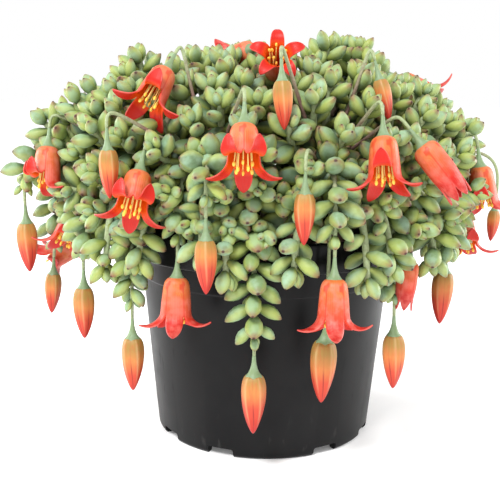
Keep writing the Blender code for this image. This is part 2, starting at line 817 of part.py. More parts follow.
def add_lobe(bm, mouth, index):
    """One pointed lobe, from two edges of the mouth: it drops as it spreads, then turns level."""
    step = 2 * math.pi / BELL_SIDES
    middle = (2 * index + 1) * step
    spread = Vector((math.cos(middle), math.sin(middle), 0.0))
    base = [e for e in mouth if all(turned_from(v.co, spread) < 1.2 * step for v in e.verts)]
    made = bmesh.ops.extrude_edge_only(bm, edges=base)
    fresh = [part for part in made["geom"] if isinstance(part, bmesh.types.BMVert)]
    for vertex in fresh:
        centred = vertex.co - spread * vertex.co.dot(spread)
        out = BELL_MOUTH_RADIUS + LOBE_SHOULDER * LOBE_REACH
        rise = LOBE_EDGE_RISE if turned_from(vertex.co, spread) > 0.5 * step else 0.0
        vertex.co = spread * out + Vector((centred.x, centred.y, 0.0)) * LOBE_SHOULDER_WIDTH
        vertex.co.z = -BELL_LENGTH - LOBE_DROP + rise
    tip_edges = [part for part in made["geom"] if isinstance(part, bmesh.types.BMEdge)]
    tip_edges = [e for e in tip_edges if all(v in fresh for v in e.verts)]
    made = bmesh.ops.extrude_edge_only(bm, edges=tip_edges)
    fresh = [part for part in made["geom"] if isinstance(part, bmesh.types.BMVert)]
    tip = spread * (BELL_MOUTH_RADIUS + LOBE_REACH)
    tip.z = -BELL_LENGTH - LOBE_TIP_DROP
    bmesh.ops.pointmerge(bm, verts=fresh, merge_co=tip)


def turned_from(point, direction):
    """The angle between a point's level direction and another."""
    level = Vector((point.x, point.y, 0.0))
    return level.angle(direction)


def bell_mesh():
    """The corolla as a thin closed shell."""
    thing = new_object("bell", bell_surface(), bpy.context.scene.collection)
    solid = thing.modifiers.new("petal", "SOLIDIFY")
    solid.thickness = PETAL_THICKNESS
    solid.offset = -1.0
    solid.use_even_offset = False
    mesh = evaluated_mesh(thing, "bell")
    bpy.data.objects.remove(thing, do_unlink=True)
    return mesh


def bud_mesh():
    """A closed five-angled bud, broad at its shoulder and drawn to a point."""
    bm = bmesh.new()
    bmesh.ops.create_uvsphere(bm, u_segments=5, v_segments=5, radius=1.0)
    first = (1.0 - math.cos(math.pi / 5)) / 2
    for vertex in bm.verts:
        along = max((1.0 - vertex.co.z) / 2 - first, 0.0) / (1.0 - first)
        level = Vector((vertex.co.x, vertex.co.y, 0.0))
        if level.length > 0.01:
            level.normalize()
            level *= BUD_RADIUS * bud_fullness(along)
        vertex.co = Vector((level.x, level.y, -BUD_LENGTH * along))
    return mesh_from(bm, "bud")


def bud_fullness(along):
    """The bud's half width along its length, 1 at its widest."""
    if along < BUD_SHOULDER:
        swell = math.sin(along / BUD_SHOULDER * math.pi / 2)
        return BUD_TOP_FULLNESS + (1.0 - BUD_TOP_FULLNESS) * swell
    share = (along - BUD_SHOULDER) / (1.0 - BUD_SHOULDER)
    return math.cos(share * math.pi / 2) ** BUD_TAPER


def stamen_mesh(gap):
    """A bundle of filaments with its head of anthers, hanging from the bottom of the tube."""
    top = -(PETAL_THICKNESS + gap)
    shares = (0.0, 0.0, FILAMENT_END, ANTHERS_WIDEST, 1.0)
    radii = (0.0, FILAMENT_ROOT * STAMEN_RADIUS, STAMEN_RADIUS, ANTHER_RADIUS, 0.0)
    bm = bmesh.new()
    bmesh.ops.create_uvsphere(bm, u_segments=5, v_segments=4, radius=1.0)
    for vertex in bm.verts:
        row = round(math.acos(max(-1.0, min(1.0, vertex.co.z))) / (math.pi / 4))
        level = Vector((vertex.co.x, vertex.co.y, 0.0))
        if radii[row] > 0.0:
            level = level.normalized() * radii[row]
        vertex.co = Vector((level.x, level.y, top - STAMEN_LENGTH * shares[row]))
    return mesh_from(bm, "stamens")


def fuse(name, meshes, collection, kind):
    """Join closed meshes into the one closed body of a node."""
    scrap = new_collection(name + "_repeats")
    body = new_object(name, meshes[0], collection)
    for index, mesh in enumerate(meshes[1:]):
        new_object(f"{name}_{index}", mesh, scrap)
    union = body.modifiers.new("union", "BOOLEAN")
    union.operation = "UNION"
    union.operand_type = "COLLECTION"
    union.collection = scrap
    union.solver = "MANIFOLD"
    joined = evaluated_mesh(body, name)
    body.modifiers.clear()
    body.data = joined
    for thing in list(scrap.objects):
        bpy.data.objects.remove(thing, do_unlink=True)
    bpy.data.collections.remove(scrap)
    keep_largest(joined)
    finish_object(body, kind)
    return body


def keep_largest(mesh):
    """Triangulate a joined mesh and drop any loose scrap."""
    bm = bmesh.new()
    bm.from_mesh(mesh)
    bmesh.ops.triangulate(bm, faces=bm.faces)
    bm.verts.index_update()
    left = set(bm.verts)
    groups = []
    while left:
        group = set()
        edge = [left.pop()]
        while edge:
            vertex = edge.pop()
            group.add(vertex)
            for link in vertex.link_edges:
                other = link.other_vert(vertex)
                if other in left:
                    left.discard(other)
                    edge.append(other)
        groups.append(group)
    groups.sort(key=len)
    for group in groups[:-1]:
        bmesh.ops.delete(bm, geom=list(group), context="VERTS")
    bm.to_mesh(mesh)
    bm.free()


def placed(mesh, matrix):
    """A copy of a mesh, moved by a matrix."""
    copy = mesh.copy()
    copy.transform(matrix)
    return copy


def build_flowers(collection, flowers):
    """Every corolla, and stamens of their own for the most open bells; returns their obstacles."""
    bell = bell_mesh()
    bud = bud_mesh()
    obstacles = []
    counts = {"bell": 0, "bud": 0}
    for flower in flowers:
        frame = flower_frame(flower)
        if flower.kind == "bell":
            counts["bell"] += 1
            number = counts["bell"]
            obstacles += build_bell(collection, number, placed(bell, frame), frame)
        else:
            counts["bud"] += 1
            grown = flower.size * (HALF_OPEN_SCALE if flower.kind == "half" else 1.0)
            mesh = placed(bud, frame @ Matrix.Diagonal((grown, grown, grown, 1.0)))
            thing = new_object(f"bud_{counts['bud']:02d}", mesh, collection)
            finish_object(thing, "bud")
            obstacles.append(obstacle(thing.name, mesh))
    return obstacles


def build_bell(collection, number, mesh, frame):
    """A bell: its corolla, with the stamens beside it or, past the count of nodes, fused in it."""
    name = f"bell_{number:02d}"
    own = number <= STAMEN_NODES
    stamens = placed(stamen_mesh(GAP if own else -PETAL_THICKNESS / 2), frame)
    if not own:
        corolla = fuse(name, [mesh, stamens], collection, "bell")
        return [obstacle(name, corolla.data)]
    corolla = new_object(name, mesh, collection)
    finish_object(corolla, "bell")
    bundle = new_object(f"stamens_{number:02d}", stamens, collection)
    finish_object(bundle, "stamens")
    return [obstacle(name, mesh), obstacle(bundle.name, stamens)]


class Cup(NamedTuple):
    """The green cup over a corolla: it widens from the stalk's tip to the corolla's top."""

    base: Vector
    axis: Vector
    radius: float

    def rim(self, ring, sides):
        """The corners of the cup's rim, in step with the stalk's last ring."""
        side = (ring.side - self.axis * ring.side.dot(self.axis)).normalized()
        corners = []
        for index in range(sides):
            angle = math.tau / sides * (index + 0.5)
            corners.append(self.base + Matrix.Rotation(angle, 3, self.axis) @ side * self.radius)
        return corners


def flower_cup(flower):
    """The cup of a flower, just above its corolla."""
    axis = flower_axis(flower)
    return Cup(flower_top(flower) - axis * GAP, axis, CUP_RADIUS * flower.size)


class Branch:
    """A branch as it grows: its heart, its stems and the closed meshes that will be fused."""

    def __init__(self, number, heart):
        self.name = f"branch_{number:02d}"
        self.heart = heart
        self.meshes = [heart_mesh(heart), self.wood()]
        self.stems = []

    def wood(self):
        """The woody foot, upright in its hole and then leaning to the heart."""
        foot = wood_foot(self.heart)
        low = foot - Vector((0.0, 0.0, FOOT_DEPTH - GAP))
        bend = foot + Vector((0.0, 0.0, 2.0 * MM))
        path = [low, bend, self.heart.centre]
        bend_share = (bend - low).length / length_of(path)
        stem = Stem(path, (WOOD_RADIUS, WOOD_RADIUS), 6, (0.0, bend_share, 1.0))
        return stem.mesh()

    def add_stem(self, stem, cup, obstacles):
        """Carry a stem, or return the other body that it meets."""
        body = obstacle(self.name, stem.mesh(cup))
        met = crosses(body, obstacles, self.name)
        if met is None:
            obstacles.append(body)
            self.stems.append((stem, cup))
        return met


def grow_stalks(branches, flowers, obstacles):
    """The stalks and cups of the flowers, each on its nearest branch."""
    hearts = [branch.heart for branch in branches]
    draw = random.Random(SEED + 2)
    for flower in flowers:
        branch = branches[nearest_heart(flower_top(flower), hearts)]
        path = flower_path(flower, branch.heart)
        joints = []
        for pair in range(flower.pairs):
            size = YOUNG_LEAF_SIZE if pair == 0 else 1.0
            distance = flower.bare * MM + pair * LEAF_SPACING
            joints.append(Joint(distance, TRAIL_LEAF_OPENING, size, pair))
        radii = (STALK_RADIUS if joints else BARE_STALK_RADIUS, PEDICEL_RADIUS)
        sides = 4 if joints else 5
        stops = TRAIL_STOPS if joints else STALK_STOPS
        stem = Stem(path, radii, sides, stops, joints, draw.uniform(0.0, math.tau))
        met = branch.add_stem(stem, flower_cup(flower), obstacles)
        if met is not None:
            raise ValueError(f"the stalk of {flower} on {branch.name} meets {met.owner}")


def grow_shoots(branches, obstacles):
    """The shoots of the crown, spread evenly over the dome by the golden angle."""
    hearts = [branch.heart for branch in branches]
    draw = random.Random(SEED)
    joints = [Joint(*pair, number) for number, pair in enumerate(ROSETTE)]
    for index, elevation in enumerate(even_elevations(SHOOTS)):
        azimuth = index * GOLDEN_ANGLE + draw.uniform(-SHOOT_SWING, SHOOT_SWING)
        shorter = 1.0 - draw.uniform(0.0, SHOOT_SHORTENING)
        twist = draw.uniform(0.0, math.pi)
        tip = crown_point(azimuth, elevation)
        branch = branches[nearest_heart(tip, hearts)]
        centre = branch.heart.centre
        tip = centre + (tip - centre) * shorter
        heading = (crown_normal(tip) + Vector((0.0, 0.0, SHOOT_LIFT))).normalized()
        last = tip - heading * SHOOT_STRAIGHT
        first = centre + (last - centre) * 0.5
        path = bezier(centre, first, last, tip, SHOOT_POINTS)
        stem = Stem(path, (SHOOT_ROOT_RADIUS, SHOOT_TIP_RADIUS), 4, SHOOT_STOPS, joints, twist)
        branch.add_stem(stem, None, obstacles)


def in_pot(corners):
    """Whether any point lies in or too near the pot or its soil."""
    near = POT_CLEARANCE
    for corner in corners:
        reach = math.hypot(corner.x, corner.y)
        if corner.z < SOIL_TOP + near and reach < inner_radius(SOIL_TOP) + 2 * WALL:
            return True
        if corner.z < COLLAR_BOTTOM and reach < BAND_TOP_RADIUS + near:
            return True
        if COLLAR_BOTTOM - near < corner.z < POT_HEIGHT + near:
            if RIM_RADIUS - 4 * WALL < reach < RIM_RADIUS + near:
                return True
    return False


def leaf_is_clear(leaf, branch, stem, branches, obstacles, leaves):
    """The leaf as a body, if it keeps clear of the pot, the flowers, the branches and the other leaves."""
    corners, faces = leaf_outline(leaf)
    if in_pot(corners):
        return None
    for other in branches:
        if other is not branch and any(inside_heart(corner, other.heart) for corner in corners):
            return None
    body = body_of(branch.name, corners, faces)
    rivals = [held for owner, held in leaves if owner is not stem]
    if crosses(body, obstacles, branch.name) or crosses(body, rivals):
        return None
    return body


def grow_leaves(branches, obstacles):
    """Raise the leaves one by one, and leave out those that would cross another body."""
    leaves = []
    left_out = 0
    for branch in branches:
        for stem, _ in branch.stems:
            for leaf in stem.leaves():
                body = leaf_is_clear(leaf, branch, stem, branches, obstacles, leaves)
                if body is None:
                    left_out += 1
                    continue
                stem.grow(leaf)
                leaves.append((stem, body))
    print(f"leaves {len(leaves)}, left out {left_out}")


def build_plant(collection, pot):
    """The plant: flowers first, then the branches that carry them, grown clear of one another."""
    flowers = [*SHOWN_FLOWERS, *hidden_flowers()]
    obstacles = build_flowers(collection, flowers)
    obstacles.append(obstacle("pot", evaluated_mesh(pot, "pot_test")))
    branches = [Branch(number + 1, heart) for number, heart in enumerate(make_hearts())]
    for branch in branches:
        for mesh in branch.meshes:
            obstacles.append(obstacle(branch.name, mesh))
    grow_stalks(branches, flowers, obstacles)
    grow_shoots(branches, obstacles)
    grow_leaves(branches, obstacles)
    for branch in branches:
        stems = [stem.mesh(cup) for stem, cup in branch.stems]
        fuse(branch.name, branch.meshes + stems, collection, "branch")


def main():
    """Build the potted plant."""
    clear_scene()
    collection = new_collection("potted_cotyledon")
    pot = build_pot(collection)
    build_soil(collection, [wood_foot(heart) for heart in make_hearts()])
    build_plant(collection, pot)


main()
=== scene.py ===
"""The potted cotyledon as it looks: its leaves, stems, flowers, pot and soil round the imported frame.

The shoots and the flowers stand where the frame's branches and flowers stand. Each branch becomes one
piece of leaves and one piece of stems, and more shoots fill the gaps between those of the frame.
Azimuth 0 is the front (-Y) and azimuths grow towards +X. Lengths are in metres.
"""

import logging
import math
import random
from collections.abc import Callable, Iterable, Sequence
from dataclasses import dataclass, field
from enum import Enum
from itertools import pairwise, product
from typing import Any, NamedTuple

import bmesh
import bpy
import numpy as np
from mathutils import Matrix, Vector


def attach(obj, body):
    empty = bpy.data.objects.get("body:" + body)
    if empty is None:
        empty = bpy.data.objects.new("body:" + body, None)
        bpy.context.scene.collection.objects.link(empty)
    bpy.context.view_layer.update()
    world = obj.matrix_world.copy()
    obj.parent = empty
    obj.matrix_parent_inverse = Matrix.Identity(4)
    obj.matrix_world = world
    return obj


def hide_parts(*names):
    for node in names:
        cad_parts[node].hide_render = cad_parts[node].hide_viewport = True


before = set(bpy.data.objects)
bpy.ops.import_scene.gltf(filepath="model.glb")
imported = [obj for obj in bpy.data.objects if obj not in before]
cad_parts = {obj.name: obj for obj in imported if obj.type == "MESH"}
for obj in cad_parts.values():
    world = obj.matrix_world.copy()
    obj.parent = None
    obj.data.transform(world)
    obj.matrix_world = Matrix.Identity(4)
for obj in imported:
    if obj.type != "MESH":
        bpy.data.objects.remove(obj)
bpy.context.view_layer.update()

MM = 0.001
BODY = "root"
UP = Vector((0.0, 0.0, 1.0))
log = logging.getLogger("cotyledon")

Colour = tuple[float, float, float]


# Places


def outward(azimuth: float) -> Vector:
    """Return the level unit vector at an azimuth in degrees."""
    turn = math.radians(azimuth)
    return Vector((math.sin(turn), -math.cos(turn), 0.0))


def place(azimuth: float, reach: float, height: float) -> Vector:
    """Return a point by its azimuth, its distance from the pot's axis and its height."""
    return outward(azimuth) * reach + UP * height


def signed_power(value: float, power: float) -> float:
    """Return a power that keeps the value's sign."""
    return math.copysign(abs(value) ** power, value)


def ease(value: float) -> float:
    """Return a smooth step from 0 to 1 for a value that goes from 0 to 1."""
    held = max(0.0, min(1.0, value))
    return held * held * (3.0 - 2.0 * held)


def bezier(start: Vector, first: Vector, last: Vector, end: Vector, count: int) -> list[Vector]:
    """Return points along a cubic curve, evenly in its parameter.

    Args:
        start: The first point.
        first: The handle of the first point.
        last: The handle of the last point.
        end: The last point.
        count: How many points there are.

    Returns:
        The points from start to end.
    """
    points = []
    for step in range(count):
        t = step / (count - 1)
        u = 1.0 - t
        points.append(start * u ** 3 + first * 3 * u * u * t + last * 3 * u * t * t + end * t ** 3)
    return points


def length_of(points: Sequence[Vector]) -> float:
    """Return the length of a chain of points."""
    return sum((after - before).length for before, after in pairwise(points))


def point_from_tip(points: Sequence[Vector], distance: float) -> tuple[Vector, Vector]:
    """Find a point of a chain by its distance from the chain's end.

    Args:
        points: The chain, from root to tip.
        distance: How far before the tip the point lies.

    Returns:
        The point, and the unit vector towards the tip there.
    """
    left = distance
    for end, start in zip(reversed(points), reversed(points[:-1])):
        span = (end - start).length
        if left <= span:
            return end + (start - end) * left / span, (end - start).normalized()
        left -= span
    return points[0].copy(), (points[1] - points[0]).normalized()


# Materials


def operator(operation: str, reflected: bool = False) -> Callable[["Signal", Any], "Signal"]:
    """Make an operator of Signal.

    Args:
        operation: The operation of its Math node.
        reflected: Whether the signal comes second, as in 1 - signal.

    Returns:
        The method, which adds that node.
    """

    def method(self: "Signal", other: Any) -> "Signal":
        """Add the Math node."""
        first, second = (other, self) if reflected else (self, other)
        return self.recipe.node("ShaderNodeMath", {"operation": operation}, {0: first, 1: second})

    return method


class Signal:
    """A value or a colour on its way through a material, carried by an output socket."""

    __add__ = operator("ADD")
    __radd__ = operator("ADD", reflected=True)
    __sub__ = operator("SUBTRACT")
    __rsub__ = operator("SUBTRACT", reflected=True)
    __mul__ = operator("MULTIPLY")
    __rmul__ = operator("MULTIPLY", reflected=True)

    def __init__(self, recipe: "Recipe", socket: bpy.types.NodeSocket) -> None:
        """Keep the socket and the recipe that it belongs to."""
        self.recipe = recipe
        self.socket = socket


class Recipe:
    """A material in the making."""

    def __init__(self, name: str) -> None:
        """Start a material with its Principled shader.

        Args:
            name: The material's name.
        """
        self.material = bpy.data.materials.new(name)
        self.material.use_nodes = True
        self.tree = self.material.node_tree
        self.shader = self.tree.nodes["Principled BSDF"]

    def feed(self, socket: bpy.types.NodeSocket, value: Any) -> None:
        """Link a signal to a socket, or set the socket's own value.

        Args:
            socket: The input socket.
            value: A signal, a colour or a number.
        """
        if isinstance(value, Signal):
            self.tree.links.new(value.socket, socket)
        elif isinstance(value, tuple) and len(value) == 3 and socket.type == "RGBA":
            socket.default_value = (*value, 1.0)
        else:
            socket.default_value = value

    def node(
        self,
        kind: str,
        settings: dict[str, Any] | None = None,
        sockets: dict[int | str, Any] | None = None,
        output: int | str = 0,
    ) -> Signal:
        """Add a node.

        Args:
            kind: The node's type.
            settings: Its properties, with a ramp's colour stops under "stops".
            sockets: The values or signals of its input sockets, by name or number.
            output: The output socket to go on from.

        Returns:
            The signal of that output.
        """
        made = self.tree.nodes.new(kind)
        for name, value in (settings or {}).items():
            if name == "stops":
                self._set_stops(made.color_ramp, value)
            else:
                setattr(made, name, value)
        for key, value in (sockets or {}).items():
            self.feed(made.inputs[key], value)
        return Signal(self, made.outputs[output])

    @staticmethod
    def _set_stops(ramp: bpy.types.ColorRamp, stops: Sequence[tuple[float, Colour]]) -> None:
        """Set a ramp's colour stops.

        Args:
            ramp: The ramp.
            stops: The place and the colour of each stop.
        """
        while len(ramp.elements) < len(stops):
            ramp.elements.new(0.5)
        for element, (position, colour) in zip(ramp.elements, stops):
            element.position = position
            element.color = (*colour, 1.0)

    def attribute(self, name: str) -> Signal:
        """Read a number that the piece's mesh carries."""
        return self.node("ShaderNodeAttribute", {"attribute_name": name}, output="Fac")

    def place(self) -> Signal:
        """Read the place on the piece."""
        return self.node("ShaderNodeTexCoord", output="Object")

    def noise(self, size: float, detail: float = 2.0, stretch: Colour = (1.0, 1.0, 1.0)) -> Signal:
        """Add noise.

        Args:
            size: How large its grains are, in metres.
            detail: How many finer layers it has.
            stretch: How much finer it is along each axis.

        Returns:
            The noise, about 0.3 to 0.7.
        """
        spread = self.node("ShaderNodeMapping", sockets={"Vector": self.place(), "Scale": stretch})
        settings = {"Vector": spread, "Scale": 1.0 / size, "Detail": detail}
        return self.node("ShaderNodeTexNoise", sockets=settings)

    def ramp(self, value: Signal, stops: Sequence[tuple[float, Colour]]) -> Signal:
        """Turn a value into a colour by stops."""
        return self.node("ShaderNodeValToRGB", {"stops": stops}, {0: value})

    def rise(self, value: Signal, low: float, high: float) -> Signal:
        """Go smoothly from 0 to 1 as a value goes from low to high."""
        return self.node(
            "ShaderNodeMapRange",
            {"interpolation_type": "SMOOTHSTEP"},
            {"Value": value, "From Min": low, "From Max": high},
        )

    def mix(self, share: "Signal | float", first: Any, second: Any) -> Signal:
        """Mix two colours."""
        return self.node("ShaderNodeMix", {"data_type": "RGBA"}, {0: share, 6: first, 7: second}, 2)

    def bump(self, height: Signal, distance: float, strength: float = 1.0) -> Signal:
        """Raise the surface by a height from 0 to 1, times a distance."""
        settings = {"Strength": strength, "Distance": distance, "Height": height}
        return self.node("ShaderNodeBump", sockets=settings)

    def finish(
        self, colour: Any, roughness: Any, normal: Signal | None = None, **fixed: Any
    ) -> bpy.types.Material:
        """Feed the shader.

        Args:
            colour: The base colour.
            roughness: The roughness.
            normal: A bumped normal.
            fixed: Values of other sockets, by name with _ for a space.

        Returns:
            The finished material.
        """
        self.feed(self.shader.inputs["Base Color"], colour)
        self.feed(self.shader.inputs["Roughness"], roughness)
        if normal is not None:
            self.feed(self.shader.inputs["Normal"], normal)
        for name, value in fixed.items():
            self.shader.inputs[name.replace("_", " ")].default_value = value
        return self.material


@dataclass(frozen=True)
class LeafFinish:
    """Plump green flesh under a pale waxy bloom, with a red-brown point, painted shade at the feet and deep
    in the crown, and a painted glow of light on the edges.
    """

    name: str = "leaf_skin"
    green: Colour = (0.055, 0.122, 0.034)
    light: Colour = (0.235, 0.312, 0.058)
    young: Colour = (0.360, 0.410, 0.090)
    bloom: Colour = (0.330, 0.500, 0.360)
    blush: Colour = (0.215, 0.095, 0.055)
    point: Colour = (0.055, 0.014, 0.010)
    # Painted light: the sunlit yellow-green glow laid on the leaves' edges.
    painted_edge_light: Colour = (0.400, 0.430, 0.065)
    # Painted shade: the dark colour laid on the leaves' feet and on the leaves deep in the crown.
    shade: Colour = (0.020, 0.040, 0.010)
    bloom_share: float = 0.56
    tip_from: float = 0.84

    def material(self) -> bpy.types.Material:
        """Make the material from the leaf's own marks: along, edge, tone, young and deep.

        Returns:
            The material.
        """
        recipe = Recipe(self.name)
        along = recipe.attribute("along")
        edge = recipe.attribute("edge")
        tone = recipe.attribute("tone")
        flesh = recipe.mix(tone, self.green, self.light)
        flesh = recipe.mix(recipe.attribute("young") * 0.55, flesh, self.young)
        patches = recipe.rise(recipe.noise(5.0 * MM, 3.0), 0.36, 0.62)
        wax = (patches * 0.6 + 0.4) * self.bloom_share * (1.35 - tone * 0.8)
        skin = recipe.mix(wax, flesh, self.bloom)
        # Painted shade at the leaf's foot, where the crowded leaves shade each other.
        foot = (1.0 - recipe.rise(along, 0.02, 0.50)) * 0.72
        skin = recipe.mix(foot, skin, self.shade)
        # Painted shade on the leaves that lie deep in the crown.
        skin = recipe.mix(recipe.attribute("deep") * 0.82, skin, self.shade)
        # Painted light: the edges of the leaf glow yellow-green as if sunlit.
        skin = recipe.mix(recipe.rise(edge, 0.45, 1.0) * 0.45, skin, self.painted_edge_light)
        margin = recipe.rise(edge, 0.84, 1.0) * recipe.rise(along, 0.60, 0.95) * 0.4
        skin = recipe.mix(margin, skin, self.blush)
        wobble = recipe.noise(2.0 * MM) * 0.12
        blush = recipe.rise(along + wobble, self.tip_from, 1.03)
        skin = recipe.mix(blush * (0.25 + 0.65 * tone), skin, self.blush)
        skin = recipe.mix(recipe.rise(along, 0.95, 0.985), skin, self.point)
        fine = recipe.noise(0.8 * MM, 3.0)
        roughness = 0.42 + 0.22 * patches
        return recipe.finish(skin, roughness, recipe.bump(fine, 0.08 * MM, 0.6), Specular_IOR_Level=0.4)


@dataclass(frozen=True)
class StemFinish:
    """A pale green young stem that turns mauve and then brown with age."""

    name: str = "stem_skin"
    bark: Colour = (0.075, 0.045, 0.030)
    mauve: Colour = (0.250, 0.140, 0.120)
    fresh: Colour = (0.330, 0.400, 0.210)

    def material(self) -> bpy.types.Material:
        """Make the material from the stem's mark: along, from its root to its tip.

        Returns:
            The material.
        """
        recipe = Recipe(self.name)
        wobble = recipe.noise(6.0 * MM, 3.0) * 0.3 - 0.15
        age = recipe.attribute("along") + wobble
        skin = recipe.ramp(age, ((0.0, self.bark), (0.25, self.mauve), (0.62, self.fresh), (1.0, self.fresh)))
        grain = recipe.noise(1.2 * MM, 4.0)
        skin = recipe.mix(recipe.rise(grain, 0.35, 0.7) * 0.35, skin, self.bark)
        return recipe.finish(skin, 0.55, recipe.bump(grain, 0.2 * MM, 0.7), Specular_IOR_Level=0.4)


@dataclass(frozen=True)
class CupFinish:
    """The pale blue-green cup over a flower, bloomed like the leaves."""

    name: str = "cup_skin"
    flesh: Colour = (0.150, 0.215, 0.080)
    bloom: Colour = (0.205, 0.290, 0.170)
    blush: Colour = (0.330, 0.200, 0.120)

    def material(self) -> bpy.types.Material:
        """Make the material from the cup's mark: along.

        Returns:
            The material.
        """
        recipe = Recipe(self.name)
        along = recipe.attribute("along")
        patches = recipe.rise(recipe.noise(3.0 * MM, 3.0), 0.35, 0.65)
        skin = recipe.mix(patches * 0.5 + 0.4, self.flesh, self.bloom)
        skin = recipe.mix(recipe.rise(along, 0.86, 1.0) * 0.6, skin, self.blush)
        fine = recipe.noise(0.8 * MM, 3.0)
        return recipe.finish(skin, 0.5, recipe.bump(fine, 0.06 * MM, 0.5), Specular_IOR_Level=0.4)


@dataclass(frozen=True)
class CorollaFinish:
    """A coral tube with orange shoulders, fine veins and a glowing red inside."""

    name: str = "corolla_skin"
    shoulder: Colour = (0.560, 0.150, 0.034)
    waist: Colour = (0.600, 0.064, 0.028)
    lobe: Colour = (0.480, 0.014, 0.008)
    tip: Colour = (0.380, 0.010, 0.010)
    throat: Colour = (0.820, 0.100, 0.004)
    glow: Colour = (0.500, 0.010, 0.003)
    bloom: Colour = (0.760, 0.210, 0.165)
    vein_count: float = 26.0

    def material(self) -> bpy.types.Material:
        """Make the material from the corolla's marks: along, edge, inside and tone.

        Returns:
            The material.
        """
        recipe = Recipe(self.name)
        along = recipe.attribute("along")
        edge = recipe.attribute("edge")
        inside = recipe.attribute("inside")
        tube = ((0.0, self.shoulder), (0.20, self.shoulder), (0.38, self.waist))
        outer = recipe.ramp(along, (*tube, (0.55, self.lobe), (1.0, self.tip)))
        bore = ((0.0, self.throat), (0.38, self.throat), (0.58, self.glow))
        inner = recipe.ramp(along, (*bore, (0.9, self.lobe), (1.0, self.tip)))
        veins = recipe.node("ShaderNodeMath", {"operation": "SINE"}, {0: edge * self.vein_count})
        veins = recipe.rise(veins, 0.0, 1.0) * 0.22
        outer = recipe.mix(veins, outer, self.lobe)
        haze = recipe.rise(recipe.noise(4.0 * MM, 3.0), 0.35, 0.7)
        outer = recipe.mix(haze * (recipe.attribute("tone") * 0.45 + 0.12), outer, self.bloom)
        seam = recipe.rise(edge, 0.86, 1.0) * (1.0 - recipe.rise(along, 0.5, 0.6))
        outer = recipe.mix(seam * 0.55, outer, self.glow)
        skin = recipe.mix(inside, outer, inner)
        margin = recipe.rise(edge, 0.82, 1.0) * recipe.rise(along, 0.55, 0.7) * 0.25
        skin = recipe.mix(margin, skin, self.bloom)
        ridges = recipe.bump(veins, 0.25 * MM, 0.6)
        return recipe.finish(skin, 0.42, ridges, Specular_IOR_Level=0.28)


@dataclass(frozen=True)
class BudFinish:
    """A closed bud: tan and olive shoulders that turn orange and then coral red at the point."""

    name: str = "bud_skin"
    shoulder: Colour = (0.330, 0.190, 0.045)
    amber: Colour = (0.560, 0.190, 0.048)
    coral: Colour = (0.540, 0.060, 0.026)
    point: Colour = (0.440, 0.014, 0.010)
    ridge: Colour = (0.560, 0.380, 0.190)
    seam: Colour = (0.240, 0.014, 0.010)

    def material(self) -> bpy.types.Material:
        """Make the material from the bud's marks: along, edge and tone.

        Returns:
            The material.
        """
        recipe = Recipe(self.name)
        along = recipe.attribute("along")
        edge = recipe.attribute("edge")
        tone = recipe.attribute("tone")
        shift = (tone - 0.5) * 0.16 + recipe.noise(5.0 * MM) * 0.1 - 0.05
        upper = ((0.0, self.shoulder), (0.12, self.shoulder), (0.34, self.amber))
        skin = recipe.ramp(along + shift, (*upper, (0.60, self.coral), (1.0, self.point)))
        fade = 1.0 - recipe.rise(along, 0.55, 0.95)
        skin = recipe.mix(recipe.rise(edge, 0.70, 1.0) * fade * 0.40, skin, self.ridge)
        closing = recipe.rise(along, 0.34, 0.62) * 0.80 + 0.12
        skin = recipe.mix((1.0 - recipe.rise(edge, 0.01, 0.16)) * closing, skin, self.seam)
        streaks = recipe.noise(1.2 * MM, 3.0, (1.0, 1.0, 0.2))
        skin = recipe.mix(recipe.rise(streaks, 0.45, 0.7) * 0.25, skin, self.coral)
        return recipe.finish(skin, 0.5, recipe.bump(streaks, 0.12 * MM, 0.5), Specular_IOR_Level=0.35)


@dataclass(frozen=True)
class StamenFinish:
    """Greenish yellow filaments with deep yellow anthers."""

    name: str = "stamen_skin"
    thread: Colour = (0.780, 0.560, 0.160)
    pollen: Colour = (0.880, 0.500, 0.040)

    def material(self) -> bpy.types.Material:
        """Make the material from the stamen's mark: along, 1 on an anther.

        Returns:
            The material.
        """
        recipe = Recipe(self.name)
        grain = recipe.noise(0.4 * MM, 3.0)
        dust = recipe.mix(recipe.rise(grain, 0.4, 0.6) * 0.4, self.pollen, self.thread)
        skin = recipe.mix(recipe.rise(recipe.attribute("along"), 0.8, 0.95), self.thread, dust)
        return recipe.finish(skin, 0.7, recipe.bump(grain, 0.1 * MM))


@dataclass(frozen=True)
class PotFinish:
    """Black moulded plastic with a satin sheen, faint scuffs and a little dust."""

    name: str = "pot_plastic"
    base: Colour = (0.0045, 0.0045, 0.0050)
    dust: Colour = (0.040, 0.039, 0.038)

    def material(self) -> bpy.types.Material:
        """Make the material from the place on the pot.

        Returns:
            The material.
        """
        recipe = Recipe(self.name)
        cloud = recipe.rise(recipe.noise(28.0 * MM, 4.0), 0.35, 0.7)
        scuffs = recipe.rise(recipe.noise(3.0 * MM, 5.0, (1.0, 1.0, 0.25)), 0.62, 0.74)
        height = recipe.node("ShaderNodeSeparateXYZ", sockets={0: recipe.place()}, output=2)
        low = 1.0 - recipe.rise(height, 4.0 * MM, 34.0 * MM)
        colour = recipe.mix(cloud * 0.12 + scuffs * low * 0.45, self.base, self.dust)
        collar = recipe.rise(height, 88.0 * MM, 94.0 * MM)
        roughness = 0.36 + cloud * 0.10 + scuffs * 0.12 - collar * 0.16
        grain = recipe.noise(0.5 * MM, 3.0)
        return recipe.finish(colour, roughness, recipe.bump(grain, 0.03 * MM, 0.5), Specular_IOR_Level=0.14)


